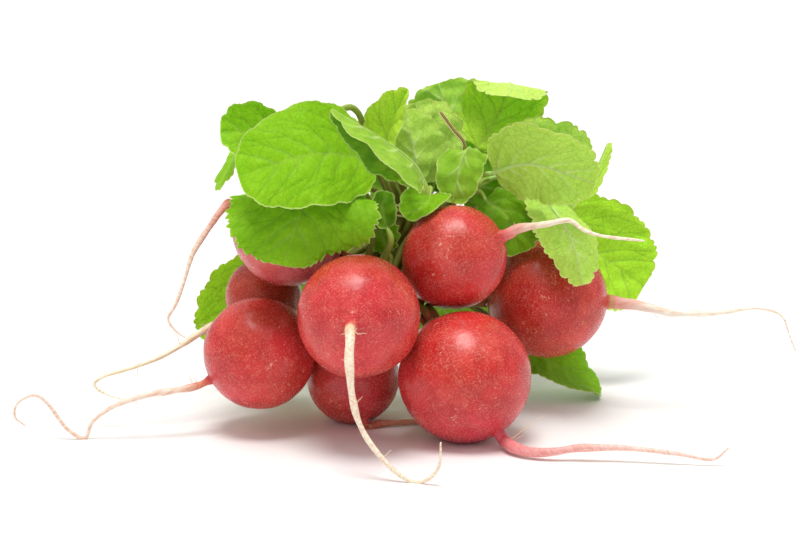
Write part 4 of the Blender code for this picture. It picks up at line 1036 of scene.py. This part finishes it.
def add_leaf(soup, leaf, index):
    """A leaf: blade with quilted face, midrib and stalk."""
    step = BACK_LEAF_STEP if leaf.name in BACK_LEAVES else LEAF_STEP
    rows = max(25, int((leaf.length + leaf.half * 1.2) / step) | 1)
    columns = max(13, int(2 * leaf.half / (step * 1.15)) | 1)
    grid, flat, edge = fine_blade(leaf, rows, columns)
    face = grid_normals(grid)
    pale, dark, nearest = vein_fields(leaf, flat, index)
    inside = np.clip(edge / 1.6, 0, 1)
    quilt = (1 - np.exp(-(nearest / 1.1) ** 2)) * QUILT_HEIGHT * inside * min(1.0, leaf.half / 8)
    height, length = CRINKLES if leaf.name in CRINKLED else SOFT_CRINKLES
    bumps = height * ripple(flat.reshape(-1, 3), 900 + index, length).reshape(rows, columns) * inside
    middle = grid + face * (quilt + bumps)[:, :, None]
    half = (RIM_THICKNESS + (LAMINA_THICKNESS - RIM_THICKNESS) * np.clip(edge / 2.5, 0, 1)) / 2
    groove = 0.06 * pale + 0.05 * dark
    ridge = 0.14 * pale * (0.5 + np.clip(1 - flat[:, :, 1] / leaf.length, 0, 1)) + 0.10 * dark
    top = middle + face * (half - groove * inside)[:, :, None]
    bottom = middle - face * (half + ridge * inside)[:, :, None]
    points = np.vstack([top.reshape(-1, 3), bottom.reshape(-1, 3)])
    place = np.tile(flat.reshape(-1, 3), (2, 1)) + (index * 61.0, index * 17.0, 0)
    pale, dark, rim = (np.tile(values.ravel(), 2) for values in (pale, dark, edge))
    tone = LEAF_TONE_AND_LIGHT.get(leaf.name, PLAIN_TONE)
    soup.add(points, sheet_faces(rows, columns), flat=place, pale_vein=pale, dark_vein=dark, rim=rim,
             under=np.repeat([0.0, 1.0], rows * columns), tone=tone, stalk=0.0)
    add_stalk(soup, leaf, grid[:, columns // 2], face[:, columns // 2], tone, index)


def add_stalk(soup, leaf, spine, face, tone, index):
    """The round stalk, which runs on under the blade as its midrib."""
    start = leaf.stalk[0] + unit(leaf.stalk[0] - leaf.stalk[1]) * STALK_ROOT
    sink = 0.16 + 0.34 * (1 - np.linspace(0, 1, len(spine[::4]))) ** 1.3
    below = spine[::4] - face[::4] * sink[:, None]
    stalk = route(np.vstack([[start], leaf.stalk[:-1]]), STALK_PLACES)
    rib = route(below[1:], RIB_PLACES)
    path = route(np.vstack([stalk[:-1:2], [leaf.stalk[-1] - face[2] * 0.3], rib[1::2]]), STALK_RINGS)
    run, stalk_run = run_along(path), run_along(stalk)[-1]
    on_stalk = np.clip(run / stalk_run, 0, 1)
    on_rib = np.clip((run - stalk_run) / (run[-1] - stalk_run), 0, 1)
    blend = np.clip((run - stalk_run * 0.93) / (stalk_run * 0.1), 0, 1)
    stalk_radii = (STALK_RADIUS_LOW + (STALK_RADIUS_HIGH - STALK_RADIUS_LOW) * on_stalk) * 0.98
    rib_radii = RIB_END + (STALK_RADIUS_HIGH * 0.7 - RIB_END) * (1 - on_rib) ** 1.8
    rings = ring_points(path, np.where(on_rib > 0, rib_radii, stalk_radii * (1 - 0.28 * blend)), STALK_SIDES)
    around = np.tile(np.arange(float(STALK_SIDES)), STALK_RINGS)
    outward = np.repeat(run, STALK_SIDES)
    near_root = np.clip(1 - outward / 6, 0, 1)
    soup.tube(rings, flat=np.stack([around, outward, np.full(len(outward), index * 5.0)], axis=1),
              pale_vein=0.0, dark_vein=0.0, rim=5.0, tone=tone,
              under=0.6 * np.repeat(on_rib > 0.02, STALK_SIDES),
              stalk=1.0 + near_root - 0.3 * np.repeat(on_stalk, STALK_SIDES))


# Twist tie.

# The strip's cross-section: share of its width out from the middle, and half its thickness there.
TIE_PROFILE = ((0.5, 0.10), (0.42, 0.13), (0.3, 0.13), (0.18, 0.15), (0.12, 0.24), (0.06, 0.33), (0.0, 0.36))
TIE_RING_STEPS = 72
TIE_END_STEPS = 40


def add_band(soup, path, face, width, closed):
    """A flat paper strip with its wire raised along the middle."""
    forward = directions(path)
    if closed:
        loop = np.roll(path, -1, axis=0) - np.roll(path, 1, axis=0)
        forward = loop / np.linalg.norm(loop, axis=1, keepdims=True)
    normal = np.array([unit(n - f * np.dot(n, f)) for n, f in zip(face, forward)])
    across = np.cross(forward, normal)
    profile = [(-out, rise) for out, rise in TIE_PROFILE] + list(TIE_PROFILE[-2::-1])
    profile += [(out, -rise) for out, rise in profile[::-1]]
    rings = np.stack([path + across * width * out + normal * rise for out, rise in profile], axis=1)
    spots = np.tile([2 * out for out, rise in profile], len(path))
    run = np.repeat(np.arange(len(path)) * 1.0, len(profile))
    place = np.stack([spots, run, np.zeros(len(run))], axis=1)
    if closed:
        rings = np.vstack([rings, rings[:1]])
        place = np.vstack([place, place[:len(profile)]])
        soup.add(rings.reshape(-1, 3), grid_faces(len(rings), len(profile), 0, True)[:, ::-1], strip=place)
    else:
        soup.tube(rings, strip=place)


def add_tie(soup):
    """The twist tie's ring with its two free ends."""
    axis = unit(TIE_AXIS)
    right, up = square_to(axis)
    angles = 2 * math.pi * np.arange(TIE_RING_STEPS) / TIE_RING_STEPS
    out = np.outer(np.cos(angles), right) + np.outer(np.sin(angles), up)
    wobble = 0.12 * np.sin(angles * 5) + 0.08 * np.sin(angles * 9 + 1)
    ring = np.array(TIE_CENTRE) + out * (TIE_RADIUS + 0.35 + wobble)[:, None]
    ring = ring + np.outer(0.35 * np.sin(angles * 3 + 0.5), axis)
    add_band(soup, ring, out, TIE_WIDTH, True)
    for points, face in TIE_ENDS.values():
        add_band(soup, route(points, TIE_END_STEPS), np.tile(face, (TIE_END_STEPS, 1)), TIE_END_WIDTH, False)


# Materials.

class Shader:
    """The nodes of a material or of the world, with short calls for those used here."""

    def __init__(self, owner, surface="Principled BSDF"):
        owner.use_nodes = True
        self.owner = owner
        self.tree = owner.node_tree
        self.surface = self.tree.nodes[surface]

    def put(self, value, socket):
        """Links a socket, or sets a plain value."""
        if isinstance(value, bpy.types.NodeSocket):
            self.tree.links.new(value, socket)
        elif socket.type == "RGBA":
            socket.default_value = (*value, 1.0)
        else:
            socket.default_value = value

    def node(self, kind, inputs, **settings):
        """A new node with its settings and inputs."""
        node = self.tree.nodes.new("ShaderNode" + kind)
        for name, value in settings.items():
            setattr(node, name, value)
        for key, value in inputs.items():
            self.put(value, node.inputs[key])
        return node

    def set(self, **inputs):
        """Sets or links the surface's own inputs; an underscore stands for a space."""
        for name, value in inputs.items():
            self.put(value, self.surface.inputs[name.replace("_", " ")])

    def read(self, name, output="Fac"):
        """A value kept on the mesh."""
        return self.node("Attribute", {}, attribute_name=name).outputs[output]

    def place(self, kind):
        """The texture coordinate of the kind named."""
        return self.node("TexCoord", {}).outputs[kind]

    def along(self, vector, axis):
        """One of a vector's parts."""
        return self.node("SeparateXYZ", {0: vector}).outputs[axis]

    def math(self, kind, first, second=0.0):
        """One step of arithmetic."""
        return self.node("Math", {0: first, 1: second}, operation=kind).outputs[0]

    def times(self, first, second):
        """Two values multiplied."""
        return self.math("MULTIPLY", first, second)

    def plus(self, first, second):
        """Two values added."""
        return self.math("ADD", first, second)

    def minus(self, first, second):
        """One value less another."""
        return self.math("SUBTRACT", first, second)

    def most(self, first, second):
        """The larger of two values."""
        return self.math("MAXIMUM", first, second)

    def scaled(self, vector, scale):
        """A vector multiplied along each direction."""
        return self.node("VectorMath", {0: vector, 1: scale}, operation="MULTIPLY").outputs[0]

    def noise(self, vector, scale, detail=3.0, roughness=0.5, bend=0.0):
        """Cloudy noise from 0 to 1."""
        inputs = {"Vector": vector, "Scale": scale, "Detail": detail, "Roughness": roughness,
                  "Distortion": bend}
        return self.node("TexNoise", inputs).outputs["Fac"]

    def cells(self, vector, scale, output="Distance", feature="F1", uneven=1.0):
        """One output of a cell texture."""
        inputs = {"Vector": vector, "Scale": scale, "Randomness": uneven}
        return self.node("TexVoronoi", inputs, feature=feature).outputs[output]

    def net(self, vector, scale, uneven, low, high):
        """Thin lines between cells, 1 on a line and 0 off it."""
        gap = self.cells(vector, scale, feature="DISTANCE_TO_EDGE", uneven=uneven)
        return self.curve(gap, low, high, 1.0, 0.0)

    def curve(self, value, low, high, start=0.0, end=1.0, ease="SMOOTHSTEP"):
        """A value that goes from start to end while the input goes from low to high."""
        inputs = {"Value": value, "From Min": low, "From Max": high, "To Min": start, "To Max": end}
        return self.node("MapRange", inputs, interpolation_type=ease).outputs["Result"]

    def mix(self, share, first, second, kind="MIX"):
        """Two colours mixed."""
        return self.node("Mix", {0: share, 6: first, 7: second}, data_type="RGBA", blend_type=kind).outputs[2]

    def coats(self, colour, *coats):
        """A colour under others, each given with its share."""
        for share, coat in coats:
            colour = self.mix(share, colour, coat)
        return colour

    def bump(self, height, strength, distance, **after):
        """A bumped normal, on top of another one where that is given."""
        inputs = {"Strength": strength, "Distance": distance, "Height": height, **after}
        return self.node("Bump", inputs).outputs["Normal"]


# Skin colours: mottles, specks and scratches, and the stain along a taproot.
SKIN_DEEP = (0.36, 0.010, 0.014)
SKIN_WARM = (0.80, 0.11, 0.09)
SKIN_PALE = (0.88, 0.22, 0.16)
MARK_CREAM = (0.95, 0.54, 0.38)
TAIL_STAIN = (0.90, 0.68, 0.60)


def skin_marks(s, grain, fine):
    """How strong the cream marks are: specks and scratches in patches, and a net of dust."""
    patch = s.curve(s.noise(grain, 0.12, 3.0, 0.6), 0.42, 0.62, 0.10, 1.0)
    speck_size = s.curve(s.cells(grain, 0.95, "Color"), 0.25, 1.0, 0.02, 0.24)
    speck = s.curve(s.minus(speck_size, s.cells(grain, 0.95)), 0.0, 0.06)
    lines = s.noise(s.scaled(grain, (0.45, 0.45, 2.6)), 0.9, 3.0, 0.7, 0.5)
    slants = s.noise(s.scaled(grain, (2.4, 0.5, 0.5)), 0.8, 3.0, 0.7, 0.6)
    scratch = s.most(s.curve(lines, 0.635, 0.68), s.curve(slants, 0.65, 0.695))
    net = s.net(s.scaled(grain, (1.0, 1.0, 1.4)), 1.3, 1.0, 0.02, 0.09)
    net = s.times(net, s.curve(fine, 0.5, 0.62))
    dust = s.curve(s.noise(grain, 3.4, 2.0, 0.55), 0.56, 0.68)
    dust = s.times(s.most(dust, net), s.curve(s.noise(grain, 0.2, 2.0), 0.42, 0.62, 0.12, 0.9))
    return s.most(s.most(s.times(speck, patch), s.times(scratch, patch)), s.times(dust, 0.55))


def skin_material():
    """Radish skin: mottled red with fine cream specks and scratches, paling along the taproot."""
    s = Shader(bpy.data.materials.new("radish_skin"))
    grain = s.read("grain", "Vector")
    tail = s.read("tail")
    tint = s.read("tint", "Color")
    fine = s.noise(grain, 1.9, 4.0, 0.65)
    colour = s.coats(
        tint,
        (s.curve(s.noise(grain, 0.17, 6.0, 0.62), 0.38, 0.66, 0.0, 0.5), SKIN_DEEP),
        (s.curve(s.noise(grain, 0.11, 4.0, 0.6), 0.48, 0.7, 0.0, 0.4), SKIN_WARM),
        (s.curve(fine, 0.45, 0.72, 0.0, 0.36), SKIN_PALE),
        (tail, tint))
    marks = s.times(skin_marks(s, grain, fine), s.minus(1.0, tail))
    colour = s.mix(s.times(marks, 0.62), colour, MARK_CREAM)
    streak = s.noise(s.scaled(grain, (1.6, 1.6, 0.22)), 1.0, 4.0, 0.6)
    colour = s.mix(s.times(tail, s.curve(streak, 0.40, 0.66)), colour, TAIL_STAIN, "MULTIPLY")
    rough = s.plus(s.curve(fine, 0.3, 0.7, 0.19, 0.31), s.times(marks, 0.25))
    rough = s.plus(rough, s.times(tail, 0.16))
    normal = s.bump(s.plus(s.times(fine, 0.5), s.times(marks, 0.6)), 0.4, 0.00012)
    normal = s.bump(s.noise(grain, 0.45, 3.0), 0.25, 0.0004, Normal=normal)
    s.set(Base_Color=colour, Roughness=rough, Normal=normal, Subsurface_Weight=0.06,
          Subsurface_Radius=(1.0, 0.35, 0.25), Subsurface_Scale=0.0012, IOR=1.42, Specular_IOR_Level=0.48)
    return s.owner


# Colours of a blade's upper face; the lime one is painted light for leaves toned above 1.
UPPER_DULL, UPPER_BRIGHT, UPPER_PAINTED_LIGHT = (0.055, 0.175, 0.001), (0.345, 0.71, 0.012), (0.68, 0.98, 0.09)
UPPER_CLOUD, UPPER_GRAIN = (0.42, 0.72, 0.03), (0.06, 0.19, 0.002)
UPPER_NET, UPPER_FINE_NET = (0.05, 0.17, 0.002), (0.06, 0.20, 0.002)
UPPER_VEIN, UPPER_RIB = (0.05, 0.16, 0.002), (0.50, 0.74, 0.16)
# Colours of a blade's lower face.
LOWER_DULL, LOWER_BRIGHT, LOWER_CLOUD = (0.22, 0.44, 0.015), (0.58, 0.86, 0.15), (0.68, 0.94, 0.17)
LOWER_NET, LOWER_FINE_NET = (0.22, 0.42, 0.035), (0.24, 0.45, 0.04)
LOWER_VEIN, LOWER_RIB = (0.24, 0.44, 0.05), (0.74, 0.88, 0.42)
RIM_PALE = (0.70, 0.84, 0.30)
# Colours of stalks, whose olive and dark are deepened as painted shade inside the bunch, and of
# midribs on dull and on bright leaves.
STALK_OLIVE_SHADED, STALK_DARK_SHADED = (0.19, 0.21, 0.030), (0.10, 0.11, 0.016)
STALK_PALE, STALK_RED = (0.42, 0.57, 0.11), (0.36, 0.10, 0.05)
RIB_DULL, RIB_BRIGHT = (0.36, 0.58, 0.10), (0.62, 0.95, 0.32)


def blade_colour(s, flat, tone, fine, wide_line, fine_line):
    """The colour of a blade: yellow-green above, paler beneath, pale along the rim."""
    pale_vein, dark_vein = s.read("pale_vein"), s.read("dark_vein")
    cloud = s.noise(flat, 0.16, 5.0, 0.6)
    above = s.coats(
        s.mix(tone, UPPER_DULL, UPPER_BRIGHT),
        # Painted light: tones above 1 turn the upper face lime.
        (s.minus(tone, 1.0), UPPER_PAINTED_LIGHT),
        (s.curve(cloud, 0.38, 0.7, 0.0, 0.30), UPPER_CLOUD),
        (s.curve(fine, 0.45, 0.75, 0.0, 0.16), UPPER_GRAIN),
        (s.times(wide_line, 0.16), UPPER_NET),
        (s.times(fine_line, 0.10), UPPER_FINE_NET),
        (s.times(dark_vein, 0.46), UPPER_VEIN),
        (s.times(pale_vein, 0.3), UPPER_RIB))
    beneath = s.coats(
        s.mix(tone, LOWER_DULL, LOWER_BRIGHT),
        (s.curve(cloud, 0.35, 0.7, 0.0, 0.3), LOWER_CLOUD),
        (s.times(wide_line, 0.32), LOWER_NET),
        (s.times(fine_line, 0.22), LOWER_FINE_NET),
        (s.times(dark_vein, 0.34), LOWER_VEIN),
        (s.times(pale_vein, 0.6), LOWER_RIB))
    blade = s.mix(s.read("under"), above, beneath)
    return s.mix(s.curve(s.read("rim"), 0.0, 0.5, 0.6, 0.0), blade, RIM_PALE)


def stalk_colour(s, flat, tone, stalk, on_rib):
    """The colour of a stalk: olive, deepened as painted shade inside the bunch, red by the root and pale
    towards the blade, and green as a midrib.
    """
    streak = s.noise(s.scaled(flat, (0.8, 0.12, 1.0)), 0.8, 4.0)
    return s.coats(
        s.mix(s.curve(streak, 0.35, 0.7, 0.0, 0.5), STALK_OLIVE_SHADED, STALK_DARK_SHADED),
        (s.curve(stalk, 0.70, 0.88, 0.9, 0.0), STALK_PALE),
        (s.curve(stalk, 1.1, 1.9), STALK_RED),
        (on_rib, s.mix(tone, RIB_DULL, RIB_BRIGHT)))


def leaf_material():
    """Radish leaf with a net of veins sunk above and raised beneath."""
    s = Shader(bpy.data.materials.new("radish_leaf"))
    flat = s.read("flat", "Vector")
    under, tone, stalk = s.read("under"), s.read("tone"), s.read("stalk")
    is_stalk = s.curve(stalk, 0.4, 0.6)
    beneath = s.times(under, 1.6)
    fine = s.noise(flat, 2.4, 3.0, 0.6)
    wide_line = s.net(flat, 0.62, 0.85, 0.015, 0.07)
    fine_line = s.net(flat, 1.7, 0.9, 0.01, 0.09)
    blade = blade_colour(s, flat, tone, fine, wide_line, fine_line)
    colour = s.mix(is_stalk, blade, stalk_colour(s, flat, tone, stalk, beneath))
    rough = s.plus(s.curve(fine, 0.3, 0.7, 0.42, 0.55), s.times(under, 0.14))
    lines = s.plus(s.times(wide_line, 0.6), s.times(fine_line, 0.3))
    height = s.plus(s.times(lines, s.minus(beneath, 0.9)), s.times(fine, 0.4))
    height = s.times(height, s.minus(1.0, s.times(is_stalk, 0.7)))
    s.set(Base_Color=colour, Roughness=rough, Normal=s.bump(height, 0.55, 0.00016), Subsurface_Weight=0.4,
          Subsurface_Radius=(0.55, 1.0, 0.2), Subsurface_Scale=0.0012, IOR=1.4, Specular_IOR_Level=0.16)
    return s.owner


# Colours of the tie: its paper, the painted shade in the crease beside the wire and the pale edges.
PAPER_TAN, PAPER_LIGHT = (0.40, 0.25, 0.05), (0.58, 0.40, 0.10)
CREASE_SHADE, EDGE_CREAM = (0.035, 0.022, 0.010), (0.86, 0.76, 0.38)


def tie_material():
    """Tan paper with pale edges, with painted shade where it creases along the wire."""
    s = Shader(bpy.data.materials.new("tie_paper"))
    strip = s.read("strip", "Vector")
    out = s.math("ABSOLUTE", s.along(strip, "X"))
    fibre = s.noise(s.scaled(strip, (3.0, 0.5, 1.0)), 2.0, 4.0, 0.6)
    # Painted shade in the crease beside the wire.
    crease_shade = s.times(s.curve(out, 0.22, 0.34), s.curve(out, 0.58, 0.72, 1.0, 0.0))
    colour = s.coats(s.mix(s.curve(fibre, 0.35, 0.7), PAPER_TAN, PAPER_LIGHT),
                     (s.times(crease_shade, 0.92), CREASE_SHADE), (s.curve(out, 0.72, 0.84), EDGE_CREAM))
    s.set(Base_Color=colour, Roughness=s.curve(fibre, 0.3, 0.7, 0.42, 0.6), Normal=s.bump(fibre, 0.3, 0.0001))
    return s.owner


def floor_material():
    """Plain white studio floor."""
    s = Shader(bpy.data.materials.new("white_floor"))
    cloud = s.noise(s.place("Object"), 3.0, 2.0)
    s.set(Base_Color=s.mix(cloud, FLOOR_WHITE, FLOOR_WHITER), Roughness=0.55)
    return s.owner


# Stage.

LOOK_DOWN = math.radians(11)
CAMERA_AWAY = 550.0
CAMERA_AIM = (0.0, 5.2, 44.0)
FRAME_WIDTH = 203.2
SENSOR_WIDTH = 36.0
SKY_LOW, SKY_HIGH = 0.40, 0.78
SUN_STRENGTH = 2.2
SUN_SPREAD = math.radians(25)
SUN_COLOUR = (1.0, 0.985, 0.96)
SUN_HEADING = (0.065, 0.13, -0.98)
FLOOR_REACH = 6.0
FLOOR_DROP = 0.00002
FLOOR_WHITE, FLOOR_WHITER = (0.94, 0.94, 0.935), (0.95, 0.95, 0.948)


def turned(direction):
    """The turn that points a camera or lamp along a direction."""
    return Vector(direction).to_track_quat("-Z", "Y").to_euler()


def add_camera():
    """The camera in front of the bunch, a little above the table."""
    forward = np.array([0.0, math.cos(LOOK_DOWN), -math.sin(LOOK_DOWN)])
    data = bpy.data.cameras.new("camera")
    data.sensor_width = SENSOR_WIDTH
    data.lens = SENSOR_WIDTH * CAMERA_AWAY / FRAME_WIDTH
    data.clip_start = 0.01
    data.clip_end = 30
    camera = placed("camera", data)
    camera.location = Vector((np.array(CAMERA_AIM) - forward * CAMERA_AWAY - MIDDLE) * MM)
    camera.rotation_euler = turned(forward)
    bpy.context.scene.camera = camera


def add_light():
    """White surroundings, brighter above than at the sides, and one soft light almost overhead."""
    s = Shader(bpy.data.worlds.new("studio"), "Background")
    rise = s.along(s.place("Generated"), "Z")
    s.set(Color=(1.0, 1.0, 1.0), Strength=s.curve(rise, 0.0, 0.9, SKY_LOW, SKY_HIGH, "LINEAR"))
    bpy.context.scene.world = s.owner
    lamp = bpy.data.lights.new("overhead", "SUN")
    lamp.energy, lamp.angle, lamp.color = SUN_STRENGTH, SUN_SPREAD, SUN_COLOUR
    placed("overhead", lamp).rotation_euler = turned(SUN_HEADING)
    view = bpy.context.scene.view_settings
    view.view_transform = "Standard"
    view.look = "None"


def add_floor():
    """The floor that the bunch lies on."""
    mesh = bpy.data.meshes.new("floor")
    corners = [(x * FLOOR_REACH, y * FLOOR_REACH, 0) for x, y in ((-1, -1), (1, -1), (1, 1), (-1, 1))]
    mesh.from_pydata(corners, [], [(0, 1, 2, 3)])
    mesh.materials.append(floor_material())
    floor = placed("floor", mesh)
    floor.location.z = -FLOOR_DROP


def dress(node, material, slot, add, *shape):
    """Builds the finer piece that stands for a node."""
    soup = Soup()
    add(soup, *shape)
    soup.piece(node, material)


def main():
    """Dresses the bunch and sets the stage."""
    skin, green = skin_material(), leaf_material()
    for index, (name, root) in enumerate(ROOTS.items()):
        dress(name, skin, "radish_root", add_root, name, root, index)
    leaves = make_leaves()
    settle(leaves)
    for index, leaf in enumerate(leaves):
        dress(leaf.name, green, "radish_leaf", add_leaf, leaf, index)
    dress("twist_tie", tie_material(), "tie_paper", add_tie)
    add_floor()
    add_light()
    add_camera()


main()
